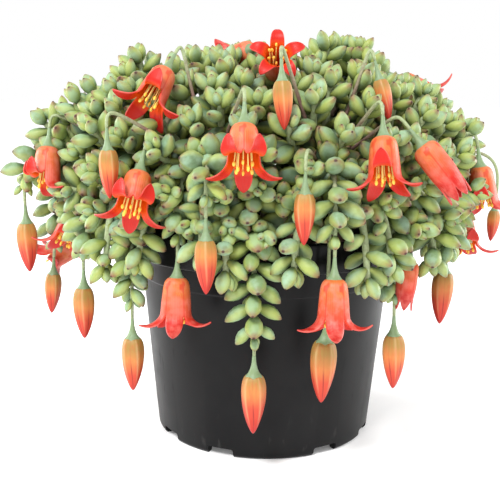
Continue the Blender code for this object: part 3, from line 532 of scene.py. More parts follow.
@dataclass(frozen=True)
class SoilFinish:
    """Dark peat with paler fibres and bits of grit."""

    name: str = "peat"
    peat: Colour = (0.030, 0.019, 0.012)
    fibre: Colour = (0.140, 0.090, 0.050)
    grit: Colour = (0.500, 0.470, 0.420)

    def material(self) -> bpy.types.Material:
        """Make the material from the place and the mark tone, 1 on a bit of grit.

        Returns:
            The material.
        """
        recipe = Recipe(self.name)
        fibres = recipe.rise(recipe.noise(2.5 * MM, 5.0, (1.0, 0.4, 1.0)), 0.5, 0.68)
        colour = recipe.mix(fibres * 0.7, self.peat, self.fibre)
        colour = recipe.mix(recipe.rise(recipe.attribute("tone"), 0.9, 0.95), colour, self.grit)
        grain = recipe.noise(1.0 * MM, 5.0)
        return recipe.finish(colour, 0.95, recipe.bump(grain, 0.5 * MM))


@dataclass(frozen=True)
class PaperFinish:
    """The plain pale ground that the pot stands on."""

    name: str = "paper"
    colour: Colour = (0.960, 0.960, 0.960)
    cloud: Colour = (0.920, 0.920, 0.920)

    def material(self) -> bpy.types.Material:
        """Make the material.

        Returns:
            The material.
        """
        recipe = Recipe(self.name)
        grain = recipe.noise(60.0 * MM)
        shade = recipe.mix(grain * 0.03, self.colour, self.cloud)
        return recipe.finish(shade, 0.9, Emission_Color=(1.0, 1.0, 1.0, 1.0), Emission_Strength=0.12)


# Modelling


class Bench:
    """Blender's modelling operators, used on one object at a time as by hand."""

    @staticmethod
    def clear() -> None:
        """Leave edit mode and deselect everything."""
        if bpy.context.mode != "OBJECT":
            bpy.ops.object.mode_set(mode="OBJECT")
        bpy.ops.object.select_all(action="DESELECT")

    @staticmethod
    def only(thing: bpy.types.Object) -> None:
        """Select one object, in object mode, and make it the active one.

        Args:
            thing: The object.
        """
        Bench.clear()
        thing.select_set(True)
        bpy.context.view_layer.objects.active = thing

    @staticmethod
    def disc(name: str, sides: int, filled: bool = True) -> bpy.types.Object:
        """Add a circle of radius 1 and start to edit it.

        Args:
            name: The new object's name.
            sides: How many sides the circle has.
            filled: Whether it has a face.

        Returns:
            The object, in edit mode.
        """
        Bench.clear()
        fill = "NGON" if filled else "NOTHING"
        bpy.ops.mesh.primitive_circle_add(vertices=sides, radius=1.0, fill_type=fill)
        thing = bpy.context.active_object
        thing.name = name
        bpy.ops.object.mode_set(mode="EDIT")
        return thing

    @staticmethod
    def move(value: Sequence[float]) -> None:
        """Move what is selected."""
        bpy.ops.transform.translate(value=tuple(value))

    @staticmethod
    def scale(value: Sequence[float], about: Sequence[float] = (0.0, 0.0, 0.0)) -> None:
        """Scale what is selected about a point."""
        bpy.ops.transform.resize(value=tuple(value), center_override=tuple(about))

    @staticmethod
    def turn(angle: float, axis: str, about: Sequence[float] = (0.0, 0.0, 0.0)) -> None:
        """Turn what is selected about a point, by the right-hand rule."""
        if abs(angle) > 1e-6:
            bpy.ops.transform.rotate(value=-angle, orient_axis=axis, center_override=tuple(about))

    @staticmethod
    def pull(value: Sequence[float]) -> None:
        """Extrude what is selected and move the new part."""
        bpy.ops.mesh.extrude_region_move(TRANSFORM_OT_translate={"value": tuple(value)})

    @staticmethod
    def pick(thing: bpy.types.Object, test: Callable[[Vector], bool]) -> int:
        """Select, in edit mode, the corners that pass a test by their place, and nothing else.

        Args:
            thing: The object in edit mode.
            test: The test of a corner's place.

        Returns:
            How many corners are selected.
        """
        shape = bmesh.from_edit_mesh(thing.data)
        for part in (*shape.faces, *shape.edges):
            part.select = False
        count = 0
        for corner in shape.verts:
            corner.select = test(corner.co)
            count += corner.select
        shape.select_flush(True)
        bmesh.update_edit_mesh(thing.data)
        return count

    @staticmethod
    def round_off(name: str, sides: int, rings: Sequence["Ring"], pointed: bool) -> bpy.types.Object:
        """Draw a closed form out of a filled circle, ring by ring.

        Args:
            name: The new object's name.
            sides: How many sides each ring has.
            rings: The rings from first to last.
            pointed: Whether the last ring is drawn together to a point.

        Returns:
            The object, in object mode.
        """
        thing = Bench.disc(name, sides)
        first = rings[0]
        Bench.scale((first.width, first.depth, 1.0))
        Bench.move((0.0, first.shift, first.height))
        for before, after in pairwise(rings):
            Bench.pull((0.0, after.shift - before.shift, after.height - before.height))
            middle = (0.0, after.shift, after.height)
            Bench.scale((after.width / before.width, after.depth / before.depth, 1.0), middle)
        if pointed:
            bpy.ops.mesh.merge(type="CENTER")
        bpy.ops.mesh.select_all(action="SELECT")
        bpy.ops.mesh.normals_make_consistent(inside=False)
        Bench.clear()
        return thing

    @staticmethod
    def modify(thing: bpy.types.Object, kind: str, **settings: Any) -> None:
        """Add a modifier and apply it.

        Args:
            thing: The object.
            kind: The modifier's type.
            settings: Its settings by name.
        """
        Bench.only(thing)
        modifier = thing.modifiers.new(kind.lower(), kind)
        for name, value in settings.items():
            setattr(modifier, name, value)
        bpy.ops.object.modifier_apply(modifier=modifier.name)

    @staticmethod
    def join(name: str, things: Sequence[bpy.types.Object]) -> bpy.types.Object:
        """Join objects into the first one, at the origin.

        Args:
            name: The name of the whole.
            things: The objects.

        Returns:
            The whole.
        """
        Bench.clear()
        for thing in things:
            thing.select_set(True)
        bpy.context.view_layer.objects.active = things[0]
        if len(things) > 1:
            bpy.ops.object.join()
        whole = bpy.context.view_layer.objects.active
        bpy.ops.object.transform_apply(location=True, rotation=True, scale=True)
        whole.name = name
        whole.data.name = name
        return whole

    @staticmethod
    def copy(thing: bpy.types.Object, matrix: Matrix, **marks: float) -> bpy.types.Object:
        """Copy an object with its own mesh.

        Args:
            thing: The object to copy, itself at the origin.
            matrix: Where the copy goes.
            marks: Numbers that the whole copy carries, by name.

        Returns:
            The copy, with its place in its mesh.
        """
        made = thing.copy()
        made.data = thing.data.copy()
        bpy.context.scene.collection.objects.link(made)
        made.data.transform(matrix)
        for name, value in marks.items():
            Bench.mark(made, name, [value] * len(made.data.vertices))
        return made

    @staticmethod
    def mark(thing: bpy.types.Object, name: str, values: Iterable[float]) -> None:
        """Give each corner of a mesh a number that materials can read.

        Args:
            thing: The object.
            name: The number's name.
            values: The number of each corner.
        """
        held = thing.data.attributes.get(name)
        if held is None:
            held = thing.data.attributes.new(name, "FLOAT", "POINT")
        held.data.foreach_set("value", np.array(list(values), dtype=np.float32))

    @staticmethod
    def corners(thing: bpy.types.Object) -> np.ndarray:
        """Return the places of a mesh's corners as rows.

        Args:
            thing: The object.

        Returns:
            One row of x, y and z for each corner.
        """
        flat = np.zeros(len(thing.data.vertices) * 3, dtype=np.float32)
        thing.data.vertices.foreach_get("co", flat)
        return flat.reshape(-1, 3)

    @staticmethod
    def smooth(thing: bpy.types.Object, angle: float | None = None) -> None:
        """Shade an object smooth, with sharp edges past an angle if one is given.

        Args:
            thing: The object.
            angle: The least angle of a sharp edge in degrees, or None if no edge is sharp.
        """
        Bench.only(thing)
        if angle is None:
            bpy.ops.object.shade_smooth()
        else:
            bpy.ops.object.shade_smooth_by_angle(angle=math.radians(angle))

    @staticmethod
    def tube(name: str, path: Sequence[Vector], radii: Sequence[float], resolution: int) -> bpy.types.Object:
        """Make a round tube along a path, marked with "along" from its root to its tip.

        Args:
            name: The object's name.
            path: The points of its middle line.
            radii: Its radius at each point.
            resolution: How fine its section is.

        Returns:
            The tube as a mesh.
        """
        curve = bpy.data.curves.new(name, "CURVE")
        curve.dimensions = "3D"
        curve.bevel_depth = 1.0
        curve.bevel_resolution = resolution
        curve.use_fill_caps = True
        spline = curve.splines.new("POLY")
        spline.points.add(len(path) - 1)
        for point, where, radius in zip(spline.points, path, radii):
            point.co = (*where, 1.0)
            point.radius = radius
        thing = bpy.data.objects.new(name, curve)
        bpy.context.scene.collection.objects.link(thing)
        Bench.only(thing)
        bpy.ops.object.convert(target="MESH")
        made = bpy.context.active_object
        bpy.ops.object.mode_set(mode="EDIT")
        bpy.ops.mesh.select_all(action="SELECT")
        bpy.ops.mesh.remove_doubles(threshold=0.001 * MM)
        Bench.clear()
        chain = np.array([tuple(point) for point in path])
        gaps = Bench.corners(made)[:, None, :] - chain[None, :, :]
        nearest = (gaps ** 2).sum(axis=2).argmin(axis=1)
        Bench.mark(made, "along", nearest / (len(path) - 1))
        return made

    @staticmethod
    def drop(things: Iterable[bpy.types.Object]) -> None:
        """Remove the objects that were only modelled to be copied."""
        for thing in things:
            bpy.data.objects.remove(thing, do_unlink=True)


class Ring(NamedTuple):
    """A ring of a drawn-out form: its height, its half sizes and its sideways shift."""

    height: float
    width: float
    depth: float
    shift: float = 0.0


def settle(thing: bpy.types.Object, finish: bpy.types.Material, slot: str, *nodes: str) -> None:
    """Dress a finished piece and fix it to the frame.

    Args:
        thing: The piece, at the origin.
        finish: Its material.
        slot: The record's material slot. It is not used.
        nodes: The nodes of the frame that it stands for.
    """
    thing.data.materials.clear()
    thing.data.materials.append(finish)
    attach(thing, BODY)
    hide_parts(*nodes)
    log.info("%s: %d faces for %s", thing.name, len(thing.data.polygons), ", ".join(nodes))


def hang(
    model: bpy.types.Object,
    matrix: Matrix,
    name: str,
    finish: bpy.types.Material,
    slot: str,
    node: str,
    **marks: float,
) -> None:
    """Copy a model to its place as a piece of its own, and settle it.

    Args:
        model: The object to copy.
        matrix: Where the copy goes.
        name: The piece's name.
        finish: Its material.
        slot: The record's material slot.
        node: The node of the frame that it stands for.
        marks: Numbers that the copy carries, by name.
    """
    settle(Bench.join(name, [Bench.copy(model, matrix, **marks)]), finish, slot, node)


# Leaves


@dataclass
class LeafShape:
    """A plump pointed leaf, modelled along +Z with its upper side towards +Y."""

    length: float = 13.0 * MM
    half_width: float = 4.2 * MM
    half_thickness: float = 3.7 * MM
    widest: float = 0.54
    base_fullness: float = 0.40
    upper_fullness: float = 0.80
    taper: float = 0.76
    bluntness: float = 0.03
    bend: float = 0.9 * MM
    sides: int = 10
    rows: tuple[float, ...] = (0.0, 0.14, 0.34, 0.56, 0.74, 0.88, 0.965, 1.0)

    def fullness(self, along: float) -> float:
        """Return the leaf's width along it, 1 at its widest.

        Args:
            along: The share of the length, from the foot.

        Returns:
            The share of the full width.
        """
        if along < self.widest:
            swell = math.sin(along / self.widest * math.pi / 2)
            return self.base_fullness + (1.0 - self.base_fullness) * swell
        left = (1.0 - along) / (1.0 - self.widest)
        return max(math.sin(left * math.pi / 2) ** self.taper, self.bluntness)

    def build(self, name: str) -> bpy.types.Object:
        """Model the leaf and mark it with along and edge.

        Args:
            name: The object's name.

        Returns:
            The leaf.
        """
        rings = []
        for along in self.rows:
            full = self.fullness(along)
            lift = self.bend * along ** 2
            rings.append(Ring(self.length * along, self.half_width * full, self.half_thickness * full, lift))
        leaf = Bench.round_off(name, self.sides, rings, pointed=True)
        places = Bench.corners(leaf)
        along = places[:, 2] / self.length
        lift = self.bend * along ** 2
        above = places[:, 1] - lift
        width = np.array([self.half_width * self.fullness(share) for share in along])
        Bench.mark(leaf, "along", along)
        Bench.mark(leaf, "edge", np.clip(np.abs(places[:, 0]) / width, 0.0, 1.0))
        flatter = np.where(above > 0.0, above * self.upper_fullness, above) + lift
        for corner, height in zip(leaf.data.vertices, flatter):
            corner.co.y = height
        Bench.smooth(leaf)
        return leaf


class LeafKind(Enum):
    """How old a leaf is."""

    OPEN = "open"
    SLIM = "slim"
    YOUNG = "young"


LEAF_SHAPES = {
    LeafKind.OPEN: LeafShape(),
    LeafKind.SLIM: LeafShape(half_width=3.7 * MM, half_thickness=3.4 * MM, widest=0.5, bend=1.3 * MM),
    LeafKind.YOUNG: LeafShape(half_width=4.3 * MM, half_thickness=3.8 * MM, widest=0.48, bend=0.5 * MM),
}


# How far from the middle line of its stem a leaf starts, and the balls that fill it: height and radius.
LEAF_ROOT = 0.9 * MM
LEAF_BALLS = ((4.6, 2.7), (7.8, 3.1), (10.6, 2.2))
# The middle of a leaf, where its depth in the crown is measured for the painted shade.
LEAF_MIDDLE = Vector((0.0, 0.0, 7.0 * MM))


class Ball(NamedTuple):
    """A ball that stands for part of a piece when leaves are kept clear of it."""

    centre: Vector
    radius: float
    owner: int


@dataclass
class Space:
    """The room that is taken, as balls in cubic cells."""

    cell: float = 12.0 * MM
    cells: dict[tuple[int, int, int], list[Ball]] = field(default_factory=dict)

    def key(self, point: Vector) -> tuple[int, int, int]:
        """Return the cell of a point."""
        return tuple(math.floor(value / self.cell) for value in point)

    def take(self, balls: Iterable[Ball]) -> None:
        """Fill room with balls."""
        for ball in balls:
            self.cells.setdefault(self.key(ball.centre), []).append(ball)

    def depth(self, balls: Sequence[Ball]) -> float:
        """Return how deep the balls sink into what others have taken, at the worst place.

        Args:
            balls: The balls of one leaf.

        Returns:
            The depth, 0 where they are clear.
        """
        worst = 0.0
        for ball in balls:
            x, y, z = self.key(ball.centre)
            for a, b, c in product((-1, 0, 1), repeat=3):
                for other in self.cells.get((x + a, y + b, z + c), ()):
                    if other.owner != ball.owner:
                        sunk = ball.radius + other.radius - (ball.centre - other.centre).length
                        worst = max(worst, sunk)
        return worst


class Pair(NamedTuple):
    """A pair of opposite leaves: how far before the stem's tip, how open, how large and how young."""

    distance: float
    opening: float
    size: float
    young: float


@dataclass
class Stem:
    """A stem with its path, its radii and its pairs of leaves."""

    branch: int
    path: list[Vector]
    root_radius: float
    tip_radius: float
    pairs: list[Pair]
    twist: float
    owner: int

    def build(self) -> bpy.types.Object:
        """Model the stem as a tapered tube.

        Returns:
            The tube.
        """
        total = length_of(self.path)
        gone = 0.0
        radii = [self.root_radius]
        for before, after in pairwise(self.path):
            gone += (after - before).length
            radii.append(self.root_radius + (self.tip_radius - self.root_radius) * gone / total)
        return Bench.tube("stem", self.path, radii, 2)

    def side(self) -> Vector:
        """Return the direction across the stem that the first pair of leaves opens in.

        Returns:
            The unit vector.
        """
        along = (self.path[-1] - self.path[-2]).normalized()
        reference = UP if abs(along.z) < 0.8 else Vector((1.0, 0.0, 0.0))
        return Matrix.Rotation(self.twist, 3, along) @ along.cross(reference).normalized()

    def balls(self, radius: float) -> list[Ball]:
        """Return balls along the stem.

        Args:
            radius: The radius of each ball.

        Returns:
            The balls.
        """
        total = length_of(self.path)
        steps = max(2, int(total / (3.0 * MM)))
        spots = [point_from_tip(self.path, total * step / steps)[0] for step in range(steps)]
        return [Ball(spot, radius, self.owner) for spot in spots]


@dataclass
class Foliage:
    """The leaves of the whole plant, set pair by pair on its stems, clear of the flowers and the pot."""

    space: Space
    draw: random.Random
    crown: "Crown"
    length_spread: float = 0.08
    opening_spread: float = 7.0
    roll_spread: float = 10.0
    tries: int = 7
    young_from: float = 0.6
    allowed: float = 1.3 * MM
    most: float = 2.6 * MM
    rim_top: float = 107.0 * MM
    rim_outside: float = 71.5 * MM
    rim_inside: float = 67.0 * MM
    soil_top: float = 92.0 * MM
    clearance: float = 0.5 * MM
    placed: list[tuple[int, LeafKind, Matrix, float, float]] = field(default_factory=list)
    skipped: int = 0

    def clothe(self, stem: Stem) -> None:
        """Set the pairs of leaves on a stem, each pair square to the one before.

        Args:
            stem: The stem.
        """
        side = stem.side()
        for number, pair in enumerate(stem.pairs):
            root, along = point_from_tip(stem.path, pair.distance)
            out = (side - along * side.dot(along)).normalized()
            if number % 2:
                out = along.cross(out)
            for facing in (out, -out):
                self.set_leaf(stem, pair, root, along, facing)

    def set_leaf(self, stem: Stem, pair: Pair, root: Vector, along: Vector, out: Vector) -> None:
        """Set one leaf in the clearest of a few ways, or leave it out.

        Args:
            stem: The stem that carries it.
            pair: The pair that it belongs to.
            root: The point of the stem's middle line that it starts from.
            along: The stem's direction there.
            out: The direction away from the stem.
        """
        best = None
        for attempt in range(self.tries):
            loose = 1.0 + 0.5 * attempt
            opening = pair.opening + self.draw.uniform(-1.0, 1.0) * self.opening_spread * loose
            roll = self.draw.uniform(-1.0, 1.0) * self.roll_spread * loose
            size = pair.size * (1.0 + self.draw.uniform(-1.0, 0.6) * self.length_spread * loose)
            matrix = self.frame_of(root, along, out, opening, roll, size)
            balls = self.balls(matrix, stem.owner)
            if self.in_pot(balls):
                continue
            depth = self.space.depth(balls)
            if best is None or depth < best[0]:
                best = (depth, matrix, balls)
            if depth < self.allowed:
                break
        if best is None or best[0] > self.most:
            self.skipped += 1
            return
        self.space.take(best[2])
        kind = LeafKind.YOUNG
        if pair.young <= self.young_from:
            kind = self.draw.choice((LeafKind.OPEN, LeafKind.OPEN, LeafKind.SLIM))
        tone = min(1.0, max(0.0, self.draw.gauss(0.5, 0.24)))
        self.placed.append((stem.branch, kind, best[1], tone, pair.young))

    @staticmethod
    def frame_of(
        root: Vector, along: Vector, out: Vector, opening: float, roll: float, size: float
    ) -> Matrix:
        """Return the matrix that puts a leaf on its stem.

        Args:
            root: The point of the stem's middle line.
            along: The stem's direction.
            out: The direction away from the stem.
            opening: How far the leaf leans out, in degrees.
            roll: How far it is turned round the stem, in degrees.
            size: Its size.

        Returns:
            The matrix.
        """
        lean = math.radians(opening)
        turned = Matrix.Rotation(math.radians(roll), 3, along) @ out
        direction = along * math.cos(lean) + turned * math.sin(lean)
        upper = (along - direction * along.dot(direction)).normalized()
        across = upper.cross(direction)
        turn = Matrix((across, upper, direction)).transposed().to_4x4()
        start = root + turned * LEAF_ROOT
        return Matrix.Translation(start) @ turn @ Matrix.Scale(size, 4)

    @staticmethod
    def balls(matrix: Matrix, owner: int) -> list[Ball]:
        """Return three balls that fill a leaf."""
        size = matrix.col[2].to_3d().length
        return [
            Ball(matrix @ Vector((0.0, 0.2 * MM, height * MM)), radius * MM * size, owner)
            for height, radius in LEAF_BALLS
        ]

    def in_pot(self, balls: Sequence[Ball]) -> bool:
        """Return whether a leaf would cross the pot or its soil.

        Args:
            balls: The leaf's balls.

        Returns:
            True if any ball does.
        """
        for ball in balls:
            reach = math.hypot(ball.centre.x, ball.centre.y)
            low = ball.centre.z - ball.radius
            at_rim = reach - ball.radius < self.rim_outside and reach + ball.radius > self.rim_inside
            in_soil = reach < self.rim_inside and low < self.soil_top
            if (at_rim and low < self.rim_top) or in_soil or low < self.clearance:
                return True
        return False

    def build(self, branches: int) -> None:
        """Copy the leaves to their places and join those of each branch.

        Args:
            branches: How many branches there are.
        """
        models = {kind: shape.build(kind.value) for kind, shape in LEAF_SHAPES.items()}
        finish = LeafFinish().material()
        for branch in range(1, branches + 1):
            copies = []
            for owner, kind, matrix, tone, young in self.placed:
                if owner == branch:
                    # How deep the leaf lies in the crown, which darkens it with painted shade.
                    deep = self.crown.inside(matrix @ LEAF_MIDDLE)
                    copies.append(Bench.copy(models[kind], matrix, tone=tone, young=young, deep=deep))
            settle(Bench.join(f"leaves_{branch:02d}", copies), finish, "foliage", f"branch_{branch:02d}")
        Bench.drop(models.values())


# Flowers


class FlowerKind(Enum):
    """How far a flower has opened."""

    BELL = "bell"
    HALF = "half"
    BUD = "bud"


class Flower(NamedTuple):
    """A flower by the place of its corolla's top, in degrees and millimetres, and how it hangs."""

    kind: FlowerKind
    azimuth: float
    reach: float
    height: float
    lean: float
    lean_azimuth: float
    bare: float
    pairs: int
    spin: float = 0.0
    size: float = 1.0

    @property
    def top(self) -> Vector:
        """The place of the corolla's top."""
        return place(self.azimuth, self.reach * MM, self.height * MM)

    @property
    def axis(self) -> Vector:
        """The unit vector from the corolla's top to its mouth."""
        lean = math.radians(self.lean)
        return (outward(self.lean_azimuth) * math.sin(lean) - UP * math.cos(lean)).normalized()

    @property
    def hung(self) -> Matrix:
        """The matrix that hangs a flower modelled down -Z with its first lobe towards +X.

        Returns:
            The matrix.
        """
        turn = (-UP).rotation_difference(self.axis).to_matrix().to_4x4()
        spin = Matrix.Rotation(math.radians(self.spin - 90.0), 4, "Z")
        return Matrix.Translation(self.top) @ turn @ spin @ Matrix.Scale(self.size, 4)


BELL, HALF, BUD = FlowerKind.BELL, FlowerKind.HALF, FlowerKind.BUD

# The front and the sides. A lean of 0 hangs straight down, and 90 points level to the lean azimuth.
SHOWN_FLOWERS = (
    Flower(BELL, -6.5, 96, 160, 20, 0, 26, 0, 36),
    Flower(BELL, 28.5, 96, 155, 18, 5, 22, 0, -15),
    Flower(BELL, -35.5, 94, 139, 24, -25, 24, 0, 40),
    Flower(BELL, -39, 72, 181, 40, -35, 16, 0, 0),
    Flower(BELL, -76, 108, 145, 16, -5, 22, 0, -30),
    Flower(BELL, -28, 84, 93, 7, -10, 23, 2, 0),
    Flower(BELL, 16.5, 95, 97, 7, 0, 22, 2, 0),
    Flower(BELL, 4, 40, 180, 118, 0, 14, 0, 0),
    Flower(BELL, -60, 10, 192, 75, -150, 12, 0, 20),
    Flower(BELL, 99, 68, 179, 60, 82, 16, 0, 0),
    Flower(BELL, 84, 98, 113, 12, 60, 22, 1, 10),
    Flower(BELL, 77, 105, 138, 10, 60, 18, 0, -20),
    Flower(BELL, -100, 103, 89, 64, -112, 20, 1, 0),
    Flower(BELL, -87, 96, 112, 25, -60, 16, 0, 0),
    Flower(HALF, 40, 99, 151, 40, 72, 14, 0),
    Flower(HALF, 48, 86, 98, 8, -50, 24, 1, 0, 0.82),
    Flower(BUD, -40.5, 104, 148, 2, 60, 16, 0, 0, 0.8),
    Flower(BUD, -87, 122, 105, 2, 90, 28, 1),
    Flower(BUD, -93, 112, 76, 4, -90, 22, 2, 0, 0.85),
    Flower(BUD, -72, 93.5, 77, 2, 0, 20, 3),
    Flower(BUD, -48, 83, 60, 1, 0, 27, 3),
    Flower(BUD, -15.5, 97, 113, 3, 10, 18, 1, 0, 0.88),
    Flower(BUD, -4, 80, 51, 1, 0, 17, 6, 0, 1.05),
    Flower(BUD, 3, 81, 177, 4, 60, 12, 0, 0, 0.78),
    Flower(BUD, 8, 98, 133, 2, 0, 14, 0, 0, 0.82),
    Flower(BUD, 43.5, 70, 178, 17, 60, 14, 0, 0, 0.72),
    Flower(BUD, 19, 78, 65, 2, -60, 30, 0, 0, 1.11),
    Flower(BUD, 44.5, 83, 64, 2, 40, 28, 3),
    Flower(BUD, 68.5, 92, 88, 3, -60, 24, 2),
    Flower(BUD, 98, 123.6, 111, 5, -60, 20, 0, 0, 0.65),
)

# The balls along a flower's axis that keep leaves clear of it: height and radius in millimetres.
TUBE_BALLS = ((4.5, 3.2), (-4.0, 6.0), (-10.0, 6.4))
MOUTH_BALLS = ((-16.0, 6.8), (-22.0, 5.0))
END_BALLS = {BELL: MOUTH_BALLS, HALF: MOUTH_BALLS, BUD: ((-16.0, 5.4), (-22.0, 3.0))}

# Those of a bell's lobes: distance out and height in millimetres.
LOBE_BALLS = ((9.0, -18.0), (13.0, -20.5))
LOBE_BALL_RADIUS = 3.2

# The back, high and low by turns: reach, height, lean, bare stalk and pairs.
HIDDEN_FLOWERS = 9
HIDDEN_FROM = 118.0
HIDDEN_STEP = 15.5
HIDDEN_HIGH = (98.0, 150.0, 14.0, 20.0, 0)
HIDDEN_LOW = (88.0, 92.0, 4.0, 22.0, 2)
HIDDEN_SWING = 9.0
HIDDEN_TURN = 2.1


def hidden_flowers() -> list[Flower]:
    """Return the flowers of the back, high and low by turns.

    Returns:
        The flowers.
    """
    flowers = []
    for index in range(HIDDEN_FLOWERS):
        azimuth = HIDDEN_FROM + index * HIDDEN_STEP
        reach, height, lean, bare, pairs = HIDDEN_HIGH if index % 2 == 0 else HIDDEN_LOW
        kind = BELL if index % 4 in (0, 3) else BUD
        height += HIDDEN_SWING * math.sin(index * HIDDEN_TURN)
        flowers.append(Flower(kind, azimuth, reach, height, lean, azimuth, bare, pairs))
    return flowers


@dataclass
class Corolla:
    """A five-angled tube that opens in five pointed lobes, curled back. It hangs down -Z."""

    top_radius: float = 2.6 * MM
    shoulder_radius: float = 5.6 * MM
    mouth_radius: float = 6.7 * MM
    length: float = 16.0 * MM
    dome_share: float = 0.26
    lobe_length: float = 11.5 * MM
    flare: float = 16.0
    curls: tuple[float, ...] = (160.0, 104.0, 74.0, 104.0, 160.0)
    curl_spread: float = 9.0
    folded_from: float = 135.0
    fold_share: float = 0.44
    curl_power: float = 0.85
    lobe_taper: float = 0.72
    lobe_belly: float = 0.92
    folded_length: float = 9.5 * MM
    thickness: float = 0.7 * MM
    columns: int = 4
    tube_shares: tuple[float, ...] = (0.0, 0.03, 0.09, 0.17, 0.27, 0.48, 0.74, 1.0)
    lobe_rows: int = 11
    finest: float = 0.12 * MM
    flattening: float = 0.7
    cap_rise: float = 0.6 * MM
    cap_share: float = 0.6
    cap_point: float = 0.2 * MM

    def tube_radius(self, share: float) -> float:
        """Return the tube's radius at a share of its length.

        Args:
            share: The share of the length, from the top.

        Returns:
            The radius.
        """
        left = 1.0 - min(share / self.dome_share, 1.0)
        dome = (self.shoulder_radius - self.top_radius) * math.sqrt(1.0 - left ** 2)
        return self.top_radius + dome + (self.mouth_radius - self.shoulder_radius) * ease(share)

    def lobe_share(self, share: float) -> float:
        """Return a lobe's half width at a share of its length, 1 where it leaves the tube."""
        return (1.0 - share) ** self.lobe_taper * (1.0 + self.lobe_belly * share)

    def bent(self, share: float, folded: bool) -> float:
        """Return how much of its curl a lobe has made at a share of its length."""
        return min(share / self.fold_share, 1.0) if folded else share ** self.curl_power

    def rows(self, curl: float) -> list[tuple[float, float, float, float, float]]:
        """Return the rows of a petal.

        Args:
            curl: How far its tip is turned from straight down, in degrees.

        Returns:
            For each row its distance out, its height, its turn, its half width and its arch.
        """
        sector = math.pi / 5
        found = []
        folded = curl > self.folded_from
        shares = self.tube_shares[:-1] if folded else self.tube_shares
        lobe_length = self.folded_length if folded else self.lobe_length
        lobe_rows = self.lobe_rows + len(self.tube_shares) - len(shares)
        for share in shares:
            radius = self.tube_radius(share)
            width, arch = radius * math.sin(sector), radius * (1 - math.cos(sector))
            found.append((radius, -self.length * share, 0.0, width, arch))
        out, height, _, width, arch = found[-1]
        for step in range(1, lobe_rows + 1):
            share = step / lobe_rows
            lean = math.radians(self.flare + (curl - self.flare) * self.bent(share - 0.5 / lobe_rows, folded))
            out += math.sin(lean) * lobe_length / lobe_rows
            height -= math.cos(lean) * lobe_length / lobe_rows
            turn = math.radians(self.flare + (curl - self.flare) * self.bent(share, folded))
            half = max(width * self.lobe_share(share), self.finest)
            hollow = max(arch * (1.0 - self.flattening * share) * half / width, self.finest / 4)
            found.append((out, height, turn, half, hollow))
        return found

    def petal(self, curl: float) -> bpy.types.Object:
        """Model one petal with its fifth of the tube, towards +X.

        Args:
            curl: How far its tip is turned from straight down, in degrees.

        Returns:
            The petal, marked with along and edge.
        """
        sector = math.pi / 5
        sides = 10 * self.columns // 2 * 2
        petal = Bench.disc("petal", sides, filled=False)
        spare = math.pi / sides
        Bench.pick(petal, lambda spot: abs(math.atan2(spot.y, spot.x)) > sector + spare)
        bpy.ops.mesh.delete(type="VERT")
        bpy.ops.mesh.select_all(action="SELECT")
        rows = self.rows(curl)
        Bench.scale((rows[0][0], rows[0][0], 1.0))
        for before, after in pairwise(rows):
            Bench.pull((after[0] - before[0], 0.0, after[1] - before[1]))
            middle = (after[0], 0.0, after[1])
            Bench.turn(before[2] - after[2], "Y", middle)
            Bench.scale((after[4] / before[4], after[3] / before[3], after[4] / before[4]), middle)
        Bench.clear()
        across = len(petal.data.vertices) // len(rows)
        places = Bench.corners(petal)
        order = np.arange(len(places)) // across
        width = np.array([row[3] for row in rows])[order]
        Bench.mark(petal, "along", order / (len(rows) - 1))
        Bench.mark(petal, "edge", np.clip(np.abs(places[:, 1]) / width, 0.0, 1.0))
        return petal

    def build(self, name: str, draw: random.Random) -> bpy.types.Object:
        """Model the corolla and mark it with along, edge and inside.

        Args:
            name: The object's name.
            draw: The source of the curls' unevenness.

        Returns:
            The corolla.
        """
        petals = []
        for index, curl in enumerate(self.curls):
            petal = self.petal(curl + draw.uniform(-1.0, 1.0) * self.curl_spread)
            petal.data.transform(Matrix.Rotation(math.tau * index / 5, 4, "Z"))
            petals.append(petal)
        corolla = Bench.join(name, petals)
        bpy.ops.object.mode_set(mode="EDIT")
        bpy.ops.mesh.select_all(action="SELECT")
        bpy.ops.mesh.remove_doubles(threshold=0.02 * MM)
        top = Bench.pick(corolla, lambda spot: spot.z > -0.01 * MM)
        log.debug("%s: %d corners round its top", name, top)
        Bench.pull((0.0, 0.0, self.cap_rise))
        Bench.scale((self.cap_share, self.cap_share, 1.0), (0.0, 0.0, self.cap_rise))
        Bench.pull((0.0, 0.0, self.cap_point))
        bpy.ops.mesh.merge(type="CENTER")
        bpy.ops.mesh.select_all(action="SELECT")
        bpy.ops.mesh.normals_make_consistent(inside=False)
        Bench.clear()
        crown = max(corolla.data.polygons, key=lambda face: face.center.z)
        if crown.normal.z < 0.0:
            corolla.data.flip_normals()
        outer = len(corolla.data.vertices)
        Bench.modify(corolla, "SOLIDIFY", thickness=self.thickness, offset=-1.0, use_even_offset=False)
        Bench.mark(corolla, "inside", [float(index >= outer) for index in range(len(corolla.data.vertices))])
        Bench.modify(corolla, "SUBSURF", levels=1, render_levels=1)
        Bench.smooth(corolla)
        return corolla


